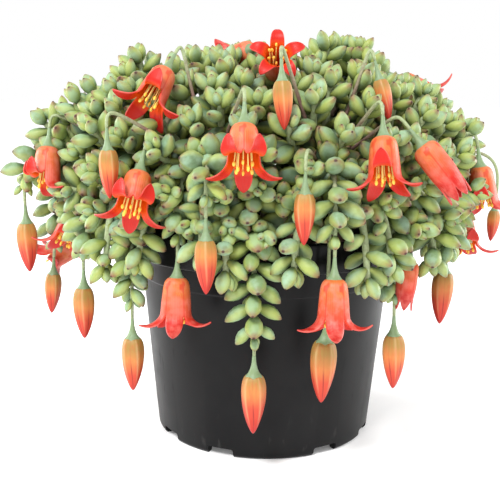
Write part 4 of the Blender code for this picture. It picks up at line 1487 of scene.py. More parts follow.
@dataclass
class Bud:
    """A closed five-angled bud, broad at its shoulder and drawn to a point. It hangs down -Z."""

    length: float = 25.8 * MM
    radius: float = 5.7 * MM
    shoulder: float = 0.27
    top_fullness: float = 0.52
    taper: float = 0.70
    angle_depth: float = 0.14
    twist: float = 18.0
    sides: int = 20
    rows: tuple[float, ...] = (0.0, 0.015, 0.045, 0.10, 0.18, 0.30, 0.45, 0.60, 0.73, 0.84, 0.92, 0.97, 1.0)

    def fullness(self, along: float) -> float:
        """Return the bud's half width along it, 1 at its widest.

        Args:
            along: The share of the length, from the top.

        Returns:
            The share of the full half width.
        """
        if along < self.shoulder:
            left = 1.0 - along / self.shoulder
            return self.top_fullness + (1.0 - self.top_fullness) * math.sqrt(1.0 - left ** 2)
        share = (along - self.shoulder) / (1.0 - self.shoulder)
        return max(math.cos(share * math.pi / 2) ** self.taper, 0.03)

    def build(self, name: str) -> bpy.types.Object:
        """Model the bud and mark it with along and edge.

        Args:
            name: The object's name.

        Returns:
            The bud.
        """
        rings = []
        for along in self.rows:
            full = self.radius * self.fullness(along)
            rings.append(Ring(-self.length * along, full, full))
        bud = Bench.round_off(name, self.sides, rings, pointed=True)
        places = Bench.corners(bud)
        around = np.arctan2(places[:, 1], places[:, 0])
        ridge = 0.5 + 0.5 * np.cos(5.0 * around)
        along = np.clip(-places[:, 2] / self.length, 0.0, 1.0)
        shrink = 1.0 - self.angle_depth * (1.0 - ridge)
        turn = np.radians(self.twist) * along ** 2
        reach = np.hypot(places[:, 0], places[:, 1]) * shrink
        for corner, far, angle in zip(bud.data.vertices, reach, around + turn):
            corner.co.x = far * math.cos(angle)
            corner.co.y = far * math.sin(angle)
        Bench.mark(bud, "along", along)
        Bench.mark(bud, "edge", ridge)
        Bench.modify(bud, "SUBSURF", levels=1, render_levels=1)
        Bench.smooth(bud)
        return bud


@dataclass
class Cup:
    """The green cup of a flower: it widens from the stalk, and five sepals lie on the corolla's shoulder."""

    stalk_radius: float = 0.8 * MM
    height: float = 8.9 * MM
    overlap: float = 0.9 * MM
    radius: float = 3.0 * MM
    sepal_length: float = 1.5 * MM
    sepal_bluntness: float = 0.8
    sepal_spread: float = 0.30
    hem: tuple[tuple[float, float], ...] = ((0.0, 0.25), (-0.4, 0.45), (-0.1, -0.3), (0.8, -1.4))
    hem_low: float = -0.3 * MM
    sides: int = 20
    rows: tuple[float, ...] = (0.0, 0.25, 0.45, 0.62, 0.76, 0.87, 0.95)
    swell: float = 2.6

    def build(self, name: str) -> bpy.types.Object:
        """Model the cup and mark it with along.

        Args:
            name: The object's name.

        Returns:
            The cup.
        """
        inside_stalk = self.stalk_radius * 0.5
        rings = [Ring(self.height + self.overlap, inside_stalk, inside_stalk)]
        for along in self.rows:
            reach = self.stalk_radius + (self.radius - self.stalk_radius) * along ** self.swell
            rings.append(Ring(self.height * (1.0 - along), reach, reach))
        for height, wider in self.hem:
            rings.append(Ring(height * MM, self.radius + wider * MM, self.radius + wider * MM))
        cup = Bench.round_off(name, self.sides, rings, pointed=True)
        for corner in cup.data.vertices:
            if corner.co.z < self.hem_low:
                around = math.atan2(corner.co.y, corner.co.x)
                fall = max(0.0, math.cos(5.0 * around)) ** self.sepal_bluntness
                corner.co.z -= self.sepal_length * fall
                reach = 1.0 + self.sepal_spread * fall
                corner.co.x *= reach
                corner.co.y *= reach
        places = Bench.corners(cup)
        span = self.height + self.sepal_length
        Bench.mark(cup, "along", np.clip((self.height - places[:, 2]) / span, 0.0, 1.0))
        Bench.modify(cup, "SUBSURF", levels=1, render_levels=1)
        Bench.smooth(cup)
        return cup


@dataclass
class Stamens:
    """Ten filaments with their anthers, in two rings, hanging from the bottom of the tube."""

    count: int = 10
    root: float = -1.0 * MM
    reach: float = 2.4 * MM
    spread: float = 3.4 * MM
    long: float = 18.2 * MM
    short: float = 15.6 * MM
    thread: float = 0.32 * MM
    anther: tuple[float, float, float] = (0.75 * MM, 0.62 * MM, 1.15 * MM)
    unevenness: float = 0.12

    def thread_model(self, length: float) -> bpy.types.Object:
        """Model one filament with its anther, straight down from the origin.

        Args:
            length: How far the anther hangs down.

        Returns:
            The stamen.
        """
        rings = [
            Ring(0.0, self.thread * 1.3, self.thread * 1.3),
            Ring(-length * 0.5, self.thread, self.thread),
            Ring(-length + 0.5 * MM, self.thread * 0.7, self.thread * 0.7),
        ]
        thread = Bench.round_off("thread", 5, rings, pointed=False)
        Bench.mark(thread, "along", [0.0] * len(thread.data.vertices))
        Bench.clear()
        bpy.ops.mesh.primitive_uv_sphere_add(segments=8, ring_count=6, radius=1.0)
        anther = bpy.context.active_object
        bpy.ops.object.mode_set(mode="EDIT")
        Bench.scale(self.anther)
        Bench.pick(anther, lambda spot: abs(spot.x) < 0.1 * MM and spot.y > 0.2 * MM)
        Bench.scale((1.0, 0.6, 1.0))
        bpy.ops.mesh.select_all(action="SELECT")
        Bench.move((0.0, 0.0, -length))
        Bench.clear()
        Bench.mark(anther, "along", [1.0] * len(anther.data.vertices))
        return Bench.join("stamen", [thread, anther])

    def build(self, name: str, draw: random.Random) -> bpy.types.Object:
        """Model the bundle.

        Args:
            name: The object's name.
            draw: The source of its unevenness.

        Returns:
            The bundle.
        """
        models = [self.thread_model(self.long), self.thread_model(self.short)]
        copies = []
        for index in range(self.count):
            length = self.long if index % 2 == 0 else self.short
            around = math.tau * index / self.count + draw.uniform(-1.0, 1.0) * self.unevenness
            lean = math.atan2(self.spread - self.reach + draw.uniform(-0.5, 0.5) * MM, length)
            matrix = (
                Matrix.Translation((0.0, 0.0, self.root))
                @ Matrix.Rotation(around, 4, "Z")
                @ Matrix.Translation((self.reach, 0.0, 0.0))
                @ Matrix.Rotation(-lean, 4, "Y")
            )
            copies.append(Bench.copy(models[index % 2], matrix))
        bundle = Bench.join(name, copies)
        Bench.smooth(bundle)
        Bench.drop(models)
        return bundle


@dataclass
class Flowers:
    """Every flower of the plant: corollas, stamens, buds and the cups that hold them."""

    rows: list[Flower]
    draw: random.Random
    own_stamens: int = 7
    nodding: tuple[float, ...] = (178.0, 108.0, 66.0, 100.0, 172.0)
    facing: tuple[float, ...] = (170.0, 112.0, 78.0, 72.0, 102.0)
    hanging: tuple[float, ...] = (58.0, 132.0, 76.0, 70.0, 104.0)
    star: tuple[float, ...] = (150.0, 132.0, 160.0, 128.0, 146.0)
    opening: tuple[float, ...] = (-6.0, 4.0, -10.0, 10.0, -4.0)
    turned: float = 20.0
    upright: float = 10.0
    risen: float = 90.0
    half_scale: float = 1.1
    seam_angle: float = 30.0

    def build(self) -> None:
        """Hang the corollas, the stamens and the buds."""
        models = {
            curls: Corolla(curls=curls).build("bell", self.draw)
            for curls in (self.nodding, self.facing, self.hanging)
        }
        models[self.star] = self.risen_form().build("bell", self.draw)
        models[HALF] = self.half_form().build("half", self.draw)
        stamens = Stamens().build("stamens", self.draw)
        models[BUD] = Bud().build("bud")
        corolla_finish = CorollaFinish().material()
        bud_finish = BudFinish().material()
        stamen_finish = StamenFinish().material()
        bells = 0
        buds = 0
        for flower in self.rows:
            tone = self.draw.uniform(0.0, 1.0)
            if flower.kind is BELL:
                bells += 1
                node = f"bell_{bells:02d}"
                model = models[self.curls_of(flower)]
                hang(model, flower.hung, f"corolla_{bells:02d}", corolla_finish, "bell", node, tone=tone)
                if bells <= self.own_stamens:
                    node = f"stamens_{bells:02d}"
                hang(stamens, flower.hung, f"anthers_{bells:02d}", stamen_finish, "stamens", node)
            else:
                buds += 1
                half = flower.kind is HALF
                turn = Matrix.Rotation(math.radians(self.seam_angle * (buds % 2)), 4, "Z")
                matrix = flower.hung @ turn @ Matrix.Scale(self.half_scale if half else 1.0, 4)
                finish = corolla_finish if half else bud_finish
                number = f"bud_{buds:02d}"
                hang(models[flower.kind], matrix, f"closed_{number}", finish, "bud", number, tone=tone)
        Bench.drop([*models.values(), stamens])

    def risen_form(self) -> Corolla:
        """Return the form of a bell that faces up, with short lobes that are rolled back."""
        return Corolla(
            curls=self.star, curl_spread=4.0, lobe_length=8.4 * MM, mouth_radius=5.6 * MM, folded_from=360.0
        )

    def half_form(self) -> Corolla:
        """Return the form of a flower whose lobes have only begun to part."""
        return Corolla(
            flare=-12.0,
            curls=self.opening,
            curl_spread=0.0,
            length=13.5 * MM,
            lobe_length=11.5 * MM,
            shoulder_radius=5.4 * MM,
            mouth_radius=5.4 * MM,
        )

    def curls_of(self, flower: Flower) -> tuple[float, ...]:
        """Return how far each lobe of a bell is curled, from the way that it hangs.

        Args:
            flower: The bell.

        Returns:
            The turn of each lobe in degrees.
        """
        if flower.lean > self.risen:
            return self.star
        if flower.lean < self.upright:
            return self.hanging
        return self.nodding if abs(flower.spin) > self.turned else self.facing

    def balls(self, owner: int) -> list[Ball]:
        """Return balls that keep the leaves clear of the flowers.

        Args:
            owner: The number that the balls carry.

        Returns:
            The balls.
        """
        found = []
        for flower in self.rows:
            spots = [(0.0, 0.0, *ball) for ball in (*TUBE_BALLS, *END_BALLS[flower.kind])]
            if flower.kind is BELL:
                for index, (reach, low) in product(range(5), LOBE_BALLS):
                    turn = math.tau * index / 5
                    spots.append((reach * math.cos(turn), reach * math.sin(turn), low, LOBE_BALL_RADIUS))
            for x, y, z, radius in spots:
                found.append(Ball(flower.hung @ Vector((x * MM, y * MM, z * MM)), radius * MM, owner))
        return found


# The plant

# The first leaf pairs of a flower's stalk, from the flower: how open, how large and how young.
STALK_PAIRS = ((36.0, 0.50, 0.3), (54.0, 0.80, 0.2), (60.0, 0.96, 0.1), (64.0, 1.02, 0.1))

# The leaf pairs at a shoot's tip: millimetres below it, how open and how loose, how large and how young.
ROSETTE = (
    (0.4, 13.0, 0, 0.54, 1.0),
    (1.8, 34.0, 1, 0.80, 0.7),
    (6.0, 56.0, 1, 0.96, 0.3),
    (12.2, 70.0, 0, 1.02, 0.1),
)

# A pair below them: how open, how large and how young.
LOWER_PAIR = (76.0, 1.0, 0.0)

# The tips of the short shoots that hang over the rim at the front: azimuth, reach and height.
FRONT_DRAPES = (
    (-62, 95, 100),
    (-53, 92, 92),
    (-42, 86, 97),
    (-20, 84, 103),
    (-12, 86, 96),
    (7, 86, 98),
    (29, 88, 92),
    (38, 88, 97),
    (56, 92, 96),
    (64, 95, 101),
)

# The tips of the tall shoots that stand out of the crown: azimuth, reach and height.
TALL_SHOOTS = (
    (-72, 65, 187),
    (-80, 57, 183),
    (-70, 72, 179),
    (-65, 80, 172),
    (-77, 87, 172),
    (-75, 95, 168),
    (-84, 103, 160),
    (-82, 111, 157),
    (-75, 38, 187),
    (-101, 27, 188),
    (-142, 25, 191),
    (71, 30, 194),
    (90, 37, 194),
    (84, 45, 193),
    (73, 52, 186),
    (65, 58, 176),
    (77, 22, 188),
    (82, 68, 170),
    (80, 87, 158),
    (79, 100, 155),
)
BACK_DRAPES = 17
BACK_DRAPES_FROM = 78.0
BACK_DRAPES_STEP = 12.8


def drape_tips() -> list[Vector]:
    """Return the tips of the shoots that hang over the rim, those of the sides and the back by rule.

    Returns:
        The points that the shoots end at.
    """
    rows = list(FRONT_DRAPES)
    for index in range(BACK_DRAPES):
        azimuth = BACK_DRAPES_FROM + index * BACK_DRAPES_STEP
        reach = 87.0 + 7.0 * abs(math.sin(math.radians(azimuth)))
        rows.append((azimuth, reach, 98.0 + 7.0 * math.sin(2.4 * index)))
    return [place(azimuth, reach * MM, height * MM) for azimuth, reach, height in rows]


@dataclass
class Crown:
    """The flattened dome that the tips of the shoots lie on, with the hearts of the branches inside it."""

    half_width: float = 106.0 * MM
    half_depth: float = 86.0 * MM
    rise: float = 58.0 * MM
    middle: float = 131.0 * MM
    squareness: float = 0.87
    lowest: float = -17.0
    outer_hearts: int = 8
    inner_hearts: int = 4
    outer_reach: float = 57.0 * MM
    inner_reach: float = 19.0 * MM
    outer_height: float = 138.0 * MM
    inner_height: float = 146.0 * MM
    stretch: tuple[float, float] = (1.12, 0.92)
    # The share of the dome's size over which the painted shade on the inner leaves grows to its full.
    shell: float = 0.16

    def point(self, azimuth: float, elevation: float) -> Vector:
        """Return a point of the dome.

        Args:
            azimuth: Its azimuth in degrees.
            elevation: Its angle over the level of the widest ring, in degrees.

        Returns:
            The point.
        """
        rise = math.radians(elevation)
        level = math.cos(rise) ** self.squareness
        out = outward(azimuth)
        return Vector((
            self.half_width * level * out.x,
            self.half_depth * level * out.y,
            self.middle + self.rise * signed_power(math.sin(rise), self.squareness),
        ))

    def normal(self, point: Vector) -> Vector:
        """Return the direction that the dome faces at a point on it."""
        return Vector((
            point.x / self.half_width ** 2,
            point.y / self.half_depth ** 2,
            (point.z - self.middle) / self.rise ** 2,
        )).normalized()

    def inside(self, point: Vector) -> float:
        """Return how deep a point lies in the crown, from 0 near its outside to 1, for the leaves' painted
        shade.

        Args:
            point: The point.

        Returns:
            The depth.
        """
        up = (point.z - self.middle) / self.rise
        out = math.hypot(point.x / self.half_width, point.y / self.half_depth, up)
        return min(1.0, max(0.0, (1.0 - out) / self.shell))

    def elevations(self, count: int) -> list[float]:
        """Return elevations that share out the dome's surface, from its lower edge up to its top.

        Args:
            count: How many there are.

        Returns:
            The elevations in degrees.
        """
        steps = 200
        low = self.lowest
        samples = [low + (90.0 - low) * step / steps for step in range(steps + 1)]
        areas = [0.0]
        for before, after in pairwise(samples):
            lower = (self.point(0.0, before) + self.point(90.0, before)) / 2
            upper = (self.point(0.0, after) + self.point(90.0, after)) / 2
            areas.append(areas[-1] + math.hypot(upper.x, upper.y) * (upper - lower).length)
        found = []
        for index in range(count):
            wanted = areas[-1] * (index + 0.5) / count
            step = max(step for step in range(steps) if areas[step] <= wanted)
            share = (wanted - areas[step]) / (areas[step + 1] - areas[step])
            found.append(samples[step] + (samples[step + 1] - samples[step]) * share)
        return found

    def hearts(self) -> list[Vector]:
        """Return the middle of each branch: a ring of outer ones, then the inner ones.

        Returns:
            The points.
        """
        found = []
        for count, reach, height, offset in (
            (self.outer_hearts, self.outer_reach, self.outer_height, 0.5),
            (self.inner_hearts, self.inner_reach, self.inner_height, 0.0),
        ):
            for index in range(count):
                heart = place((index + offset) * 360.0 / count, reach, height)
                heart.x *= self.stretch[0]
                heart.y *= self.stretch[1]
                found.append(heart)
        return found


@dataclass
class Plant:
    """The plant: its branches with their shoots, trailing stalks and leaves."""

    crown: Crown = field(default_factory=Crown)
    seed: int = 7
    shoots: int = 60
    golden_angle: float = 137.508
    swing: float = 4.0
    shortening: float = 0.06
    lift: float = 0.35
    straight: float = 16.0 * MM
    between: int = 100
    between_sunk: tuple[float, float] = (0.03, 0.12)
    inner: int = 44
    inner_sunk: tuple[float, float] = (0.20, 0.45)
    candidates: int = 160
    levels: int = 400
    loosening: float = 4.0
    soil_top: float = 91.5 * MM
    wood_radius: float = 3.0 * MM
    wood_lean: float = 0.58
    wood_heights: tuple[float, float, float] = (-4.0 * MM, 12.0 * MM, -16.0 * MM)
    shoot_radii: tuple[float, float] = (2.2 * MM, 1.4 * MM)
    stalk_radius: float = 1.6 * MM
    bare_stalk_radius: float = 0.9 * MM
    pedicel_radius: float = 0.75 * MM
    stalk_reach: float = 0.9
    stalk_rise: float = 9.0 * MM
    stalk_fall: float = 13.0 * MM
    bare_root: float = 14.0 * MM
    cup_height: float = 8.9 * MM
    drape_reach: float = 0.7
    drape_rise: float = 4.0 * MM
    drape_tuck: float = 0.06
    spacing: float = 8.6 * MM
    trail_spacing: float = 4.5 * MM
    first_pair: float = 8.0 * MM
    below_rosette: float = 20.0 * MM
    bare_foot: float = 6.0 * MM
    stems: list[Stem] = field(default_factory=list)
    hearts: list[Vector] = field(init=False)

    def __post_init__(self) -> None:
        """Find the hearts of the branches."""
        self.hearts = self.crown.hearts()

    def nearest(self, point: Vector) -> int:
        """Return the number of the heart nearest to a point, from 0."""
        distances = [(point - heart).length for heart in self.hearts]
        return distances.index(min(distances))

    def add_stem(
        self, branch: int, path: list[Vector], radii: tuple[float, float], pairs: list[Pair], twist: float
    ) -> None:
        """Add a stem to a branch."""
        owner = len(self.stems) + 1
        self.stems.append(Stem(branch + 1, path, radii[0], radii[1], pairs, twist, owner))

    def add_wood(self) -> None:
        """Add the woody foot of each branch."""
        sunk, first, last = self.wood_heights
        for number, heart in enumerate(self.hearts):
            foot = Vector((heart.x * self.wood_lean, heart.y * self.wood_lean, self.soil_top))
            path = bezier(foot + UP * sunk, foot + UP * first, heart + UP * last, heart, 12)
            self.add_stem(number, path, (self.wood_radius, self.shoot_radii[0]), [], 0.0)

    def stalk_path(self, flower: Flower, heart: Vector) -> list[Vector]:
        """Return the path of a stalk from its heart, over the foliage or the rim, down to its cup.

        Args:
            flower: The flower.
            heart: The heart of its branch.

        Returns:
            The points of the path.
        """
        cup_top = flower.top - flower.axis * self.cup_height
        out = Vector((cup_top.x - heart.x, cup_top.y - heart.y, 0.0))
        rise = max(cup_top.z - heart.z, 0.0)
        drop = max(heart.z - cup_top.z, 0.0)
        first = heart + out * self.stalk_reach + UP * (0.75 * rise + self.stalk_rise)
        last = cup_top - flower.axis * (self.stalk_fall + 0.6 * drop)
        return bezier(heart, first, last, cup_top, 25)

    def add_stalks(self, flowers: Sequence[Flower]) -> None:
        """Add the stalk of each flower, leafy where it trails.

        Args:
            flowers: The flowers.
        """
        draw = random.Random(self.seed + 2)
        for flower in flowers:
            number = self.nearest(flower.top)
            path = self.stalk_path(flower, self.hearts[number])
            total = length_of(path)
            pairs = []
            distance = self.first_pair + (flower.bare * MM - self.first_pair) % self.trail_spacing
            while flower.pairs and distance < total - self.bare_root:
                opening, size, young = STALK_PAIRS[min(len(pairs), len(STALK_PAIRS) - 1)]
                pairs.append(Pair(distance, opening, size, young))
                distance += self.trail_spacing
            root = self.stalk_radius if flower.pairs else self.bare_stalk_radius
            twist = -math.radians(flower.azimuth) + draw.uniform(-0.3, 0.3)
            self.add_stem(number, path, (root, self.pedicel_radius), pairs, twist)

    def add_drapes(self) -> None:
        """Add the short shoots that hang over the rim."""
        draw = random.Random(self.seed + 3)
        for tip in drape_tips():
            number = self.nearest(tip)
            heart = self.hearts[number]
            out = Vector((tip.x - heart.x, tip.y - heart.y, 0.0))
            first = heart + out * self.drape_reach + UP * self.drape_rise
            last = tip + UP * (0.55 * (heart.z - tip.z)) - out * self.drape_tuck
            path = bezier(heart, first, last, tip, 17)
            pairs = self.shoot_pairs(length_of(path), 0.0)
            self.add_stem(number, path, self.shoot_radii, pairs, draw.uniform(0.0, math.tau))

    def add_tall(self) -> None:
        """Add the tall shoots of the crown's outline."""
        draw = random.Random(self.seed + 4)
        for azimuth, reach, height in TALL_SHOOTS:
            self.grow(place(azimuth, reach * MM, height * MM), 1.0, draw.uniform(0.0, math.pi), 0.0)

    def shoot_pairs(self, total: float, opened: float) -> list[Pair]:
        """Return the pairs of a shoot, from its closed tip down towards its heart.

        Args:
            total: The shoot's length.
            opened: How open the rosette at its tip is, in degrees more than usual.

        Returns:
            The pairs.
        """
        pairs = []
        for below, opening, loose, size, young in ROSETTE:
            pairs.append(Pair(below * MM, opening + opened * loose, size, young))
        distance = self.below_rosette
        while distance < total - self.bare_foot:
            pairs.append(Pair(distance, *LOWER_PAIR))
            distance += self.spacing
        return pairs

    def grow(self, tip: Vector, shorter: float, twist: float, opened: float) -> None:
        """Grow a shoot from the nearest heart.

        Args:
            tip: The point of the dome that it ends at or under.
            shorter: Its length as a share of the way to that point.
            twist: How its leaf pairs are turned round it, in radians.
            opened: How open its rosette is, in degrees more than usual.
        """
        number = self.nearest(tip)
        heart = self.hearts[number]
        end = heart + (tip - heart) * shorter
        heading = (self.crown.normal(end) + UP * self.lift).normalized()
        last = end - heading * self.straight
        path = bezier(heart, heart + (last - heart) * 0.5, last, end, 13)
        self.add_stem(number, path, self.shoot_radii, self.shoot_pairs(length_of(path), opened), twist)

    def add_shoot(self, azimuth: float, elevation: float, shorter: float, twist: float) -> Vector:
        """Add one shoot and return the point of the dome over its tip.

        Args:
            azimuth: The azimuth of its tip in degrees.
            elevation: The elevation of its tip in degrees.
            shorter: Its length as a share of the way to the dome.
            twist: How its leaf pairs are turned round it, in radians.

        Returns:
            The point.
        """
        tip = self.crown.point(azimuth, elevation)
        # The sine of the bare number of degrees scatters how open the rosettes are.
        self.grow(tip, shorter, twist, self.loosening * math.sin(azimuth))
        return tip

    def add_shoots(self) -> None:
        """Add the shoots of the frame, and then more of them between their tips and inside the crown."""
        draw = random.Random(self.seed)
        tips = []
        for index, elevation in enumerate(self.crown.elevations(self.shoots)):
            azimuth = index * self.golden_angle + draw.uniform(-self.swing, self.swing)
            shorter = 1.0 - draw.uniform(0.0, self.shortening)
            tips.append(self.add_shoot(azimuth, elevation, shorter, draw.uniform(0.0, math.pi)))
        filler = random.Random(self.seed + 5)
        elevations = self.crown.elevations(self.levels)
        for _ in range(self.between):
            azimuth, elevation = self.widest_gap(tips, elevations, filler)
            least, most = self.between_sunk
            shorter = 1.0 - least - filler.uniform(0.0, most - least)
            tips.append(self.add_shoot(azimuth, elevation, shorter, filler.uniform(0.0, math.pi)))
        lower_half = elevations[: len(elevations) // 2]
        for index in range(self.inner):
            azimuth = index * self.golden_angle
            least, most = self.inner_sunk
            shorter = filler.uniform(1.0 - most, 1.0 - least)
            self.add_shoot(azimuth, filler.choice(lower_half), shorter, azimuth)

    def widest_gap(
        self, tips: Sequence[Vector], elevations: Sequence[float], draw: random.Random
    ) -> tuple[float, float]:
        """Return the azimuth and elevation, of some at random, that lie farthest from all tips.

        Args:
            tips: The tips of the shoots so far.
            elevations: The elevations to choose from, in degrees.
            draw: The source of random numbers.

        Returns:
            The azimuth and the elevation.
        """
        best = None
        for _ in range(self.candidates):
            azimuth = draw.uniform(0.0, 360.0)
            elevation = draw.choice(elevations)
            spot = self.crown.point(azimuth, elevation)
            room = min((spot - tip).length for tip in tips)
            if best is None or room > best[0]:
                best = (room, azimuth, elevation)
        return best[1], best[2]

    def build(self, flowers: Flowers) -> None:
        """Grow the stems, then the leaves, and build the pieces of each branch.

        Args:
            flowers: The flowers, already hung.
        """
        self.add_wood()
        self.add_stalks(flowers.rows)
        self.add_tall()
        self.add_shoots()
        self.add_drapes()
        space = Space()
        space.take(flowers.balls(0))
        for stem in self.stems:
            if not stem.pairs:
                space.take(stem.balls(1.2 * MM))
        foliage = Foliage(space, random.Random(self.seed + 9), self.crown)
        for stem in self.stems:
            foliage.clothe(stem)
        log.info("leaves: %d placed, %d left out", len(foliage.placed), foliage.skipped)
        foliage.build(len(self.hearts))
        self.build_stems()
        self.build_cups(flowers)

    def build_stems(self) -> None:
        """Model the stems of each branch as one piece."""
        finish = StemFinish().material()
        for branch in range(1, len(self.hearts) + 1):
            tubes = [stem.build() for stem in self.stems if stem.branch == branch]
            whole = Bench.join(f"stems_{branch:02d}", tubes)
            Bench.smooth(whole)
            settle(whole, finish, "foliage", f"branch_{branch:02d}")

    def build_cups(self, flowers: Flowers) -> None:
        """Model the cups of each branch's flowers as one piece.

        Args:
            flowers: The flowers.
        """
        finish = CupFinish().material()
        model = Cup().build("cup")
        groups: dict[int, list[bpy.types.Object]] = {}
        for flower in flowers.rows:
            unscaled_height = Matrix.Scale(1 / flower.size, 4, UP)
            cup = Bench.copy(model, flower.hung @ unscaled_height)
            groups.setdefault(self.nearest(flower.top) + 1, []).append(cup)
        for number, cups in sorted(groups.items()):
            settle(Bench.join(f"cups_{number:02d}", cups), finish, "foliage", f"branch_{number:02d}")
        Bench.drop([model])


# The pot and its soil


@dataclass
class Pot:
    """The plain round nursery pot with its collar, rim, foot notches and drain holes."""

    height: float = 107.0 * MM
    wall: float = 1.5 * MM
    foot_radius: float = 54.0 * MM
    foot_inner_radius: float = 50.6 * MM
    foot_round: float = 1.4 * MM
    body_foot_radius: float = 55.3 * MM
    body_top_radius: float = 62.9 * MM
    body_top: float = 80.6 * MM
    band_step: float = 1.0 * MM
    band_top_radius: float = 65.0 * MM
    collar_bottom: float = 92.8 * MM
    collar_radius: float = 70.1 * MM
    rim_radius: float = 71.0 * MM
    rim_round: float = 0.8 * MM
    floor_bottom: float = 4.5 * MM
    floor_top: float = 6.0 * MM
    notch_azimuths: tuple[float, ...] = (-57.5, -22.5, 32.5, 67.5, 122.5, 157.5, 212.5, 247.5)
    notch_width: float = 13.4 * MM
    notch_height: float = 4.1 * MM
    notch_depth: float = 17.0 * MM
    drain_reach: float = 43.0 * MM
    drain_radius: float = 3.5 * MM
    sides: int = 128
    edge: float = 0.45 * MM
    notch_round: float = 1.2 * MM

    def inner_radius(self, height: float) -> float:
        """Return the radius of the inner wall below the band."""
        slope = (self.body_top_radius - self.body_foot_radius) / (self.body_top - self.foot_round)
        return self.body_foot_radius + slope * (height - self.foot_round) - self.wall

    def profile(self) -> list[tuple[float, float]]:
        """Return the section as radius and height: floor, inner wall, rim, outer wall, foot and underside.

        Returns:
            The radius and the height of each corner.
        """
        band_foot = self.body_top_radius + self.band_step
        ledge = self.collar_bottom + self.wall
        low = self.floor_top
        return [
            (self.drain_reach / 2, low),
            (self.inner_radius(low) - self.wall, low),
            (self.inner_radius(low + self.wall), low + self.wall),
            (self.inner_radius(self.body_top), self.body_top),
            (band_foot - self.wall, self.body_top + self.wall),
            (self.band_top_radius - self.wall, ledge),
            (self.collar_radius - self.wall, ledge + self.wall),
            (self.rim_radius - 2 * self.rim_round - self.wall / 3, self.height - self.rim_round),
            (self.rim_radius - 1.5 * self.rim_round - self.wall / 3, self.height),
            (self.rim_radius - self.rim_round, self.height),
            (self.rim_radius, self.height - self.rim_round),
            (self.collar_radius + self.rim_round / 2, self.collar_bottom + self.rim_round),
            (self.collar_radius, self.collar_bottom),
            (self.band_top_radius, self.collar_bottom - self.rim_round),
            (band_foot, self.body_top + self.rim_round),
            (self.body_top_radius, self.body_top),
            (self.body_foot_radius, self.foot_round),
            (self.foot_radius, 0.0),
            (self.foot_inner_radius, 0.0),
            (self.foot_inner_radius - self.rim_round, self.floor_bottom),
            (self.drain_reach / 2, self.floor_bottom),
        ]

    def cut(self, pot: bpy.types.Object) -> None:
        """Cut the foot notches and the drain holes.

        Args:
            pot: The turned pot.
        """
        for azimuth in self.notch_azimuths:
            out = outward(azimuth)
            Bench.clear()
            bpy.ops.mesh.primitive_cube_add(size=1.0)
            notch = bpy.context.active_object
            bpy.ops.object.mode_set(mode="EDIT")
            Bench.scale((self.notch_width, self.notch_depth, 2 * self.notch_height))
            Bench.clear()
            Bench.modify(notch, "BEVEL", width=self.notch_round, segments=3)
            turn = Matrix.Rotation(math.radians(azimuth), 4, "Z")
            middle = out * (self.foot_radius + self.foot_inner_radius) / 2
            notch.data.transform(Matrix.Translation(middle) @ turn)
            Bench.clear()
            bpy.ops.mesh.primitive_cylinder_add(vertices=24, radius=self.drain_radius, depth=4 * self.wall)
            drain = bpy.context.active_object
            height = (self.floor_bottom + self.floor_top) / 2
            drain.data.transform(Matrix.Translation(place(azimuth, self.drain_reach, height)))
            for cutter in (notch, drain):
                Bench.modify(pot, "BOOLEAN", operation="DIFFERENCE", object=cutter, solver="EXACT")
            Bench.drop([notch, drain])

    def build(self) -> None:
        """Turn the pot, round its edges, cut it and dress it."""
        rings = [Ring(height, radius, radius) for radius, height in self.profile()]
        pot = Bench.round_off("nursery_pot", self.sides, rings, pointed=False)
        sharp = math.radians(14.0)
        Bench.modify(pot, "BEVEL", width=self.edge, segments=3, limit_method="ANGLE", angle_limit=sharp)
        self.cut(pot)
        Bench.smooth(pot, 40.0)
        settle(pot, PotFinish().material(), "pot", "pot")


@dataclass
class Soil:
    """The peat that fills the pot, rough on top, with crumbs and a few bits of grit."""

    top: float = 91.5 * MM
    low: float = 7.0 * MM
    low_radius: float = 51.5 * MM
    top_radius: float = 62.6 * MM
    rough: float = 2.4 * MM
    top_rings: int = 12
    crumbs: int = 260
    crumb_sizes: tuple[float, float] = (0.7, 2.2)
    crumb_depths: tuple[float, float] = (0.2, 1.4)
    strewn_share: float = 0.95
    grit: int = 26
    seed: int = 11

    def build(self) -> None:
        """Model the soil, roughen its top and scatter crumbs over it."""
        rings = [Ring(self.low, self.low_radius, self.low_radius)]
        rings.append(Ring(self.top - self.rough, self.top_radius, self.top_radius))
        for step in range(self.top_rings):
            radius = self.top_radius * (0.94 - 0.08 * step)
            rings.append(Ring(self.top - self.rough / 2, radius, radius))
        soil = Bench.round_off("bed", 64, rings, pointed=True)
        draw = random.Random(self.seed)
        for corner in soil.data.vertices:
            if corner.co.z > self.top - self.rough * 0.9:
                corner.co.z += draw.uniform(-0.5, 0.5) * self.rough
        Bench.mark(soil, "tone", [0.0] * len(soil.data.vertices))
        Bench.clear()
        bpy.ops.mesh.primitive_ico_sphere_add(subdivisions=2, radius=1.0)
        crumb = bpy.context.active_object
        for corner in crumb.data.vertices:
            corner.co *= draw.uniform(0.72, 1.1)
        pieces = [soil]
        for index in range(self.crumbs):
            size = draw.uniform(*self.crumb_sizes) * MM
            reach = self.top_radius * self.strewn_share * math.sqrt(draw.uniform(0.0, 1.0))
            spot = place(draw.uniform(0.0, 360.0), reach, self.top - draw.uniform(*self.crumb_depths) * MM)
            turn = Matrix.Rotation(draw.uniform(0.0, math.tau), 4, "Z")
            flat = Matrix.Diagonal((size, size * draw.uniform(0.6, 1.0), size * 0.7, 1.0))
            tone = 1.0 if index < self.grit else 0.0
            pieces.append(Bench.copy(crumb, Matrix.Translation(spot) @ turn @ flat, tone=tone))
        whole = Bench.join("potting_soil", pieces)
        Bench.drop([crumb])
        Bench.smooth(whole, 50.0)
        settle(whole, SoilFinish().material(), "soil", "soil")


# The studio


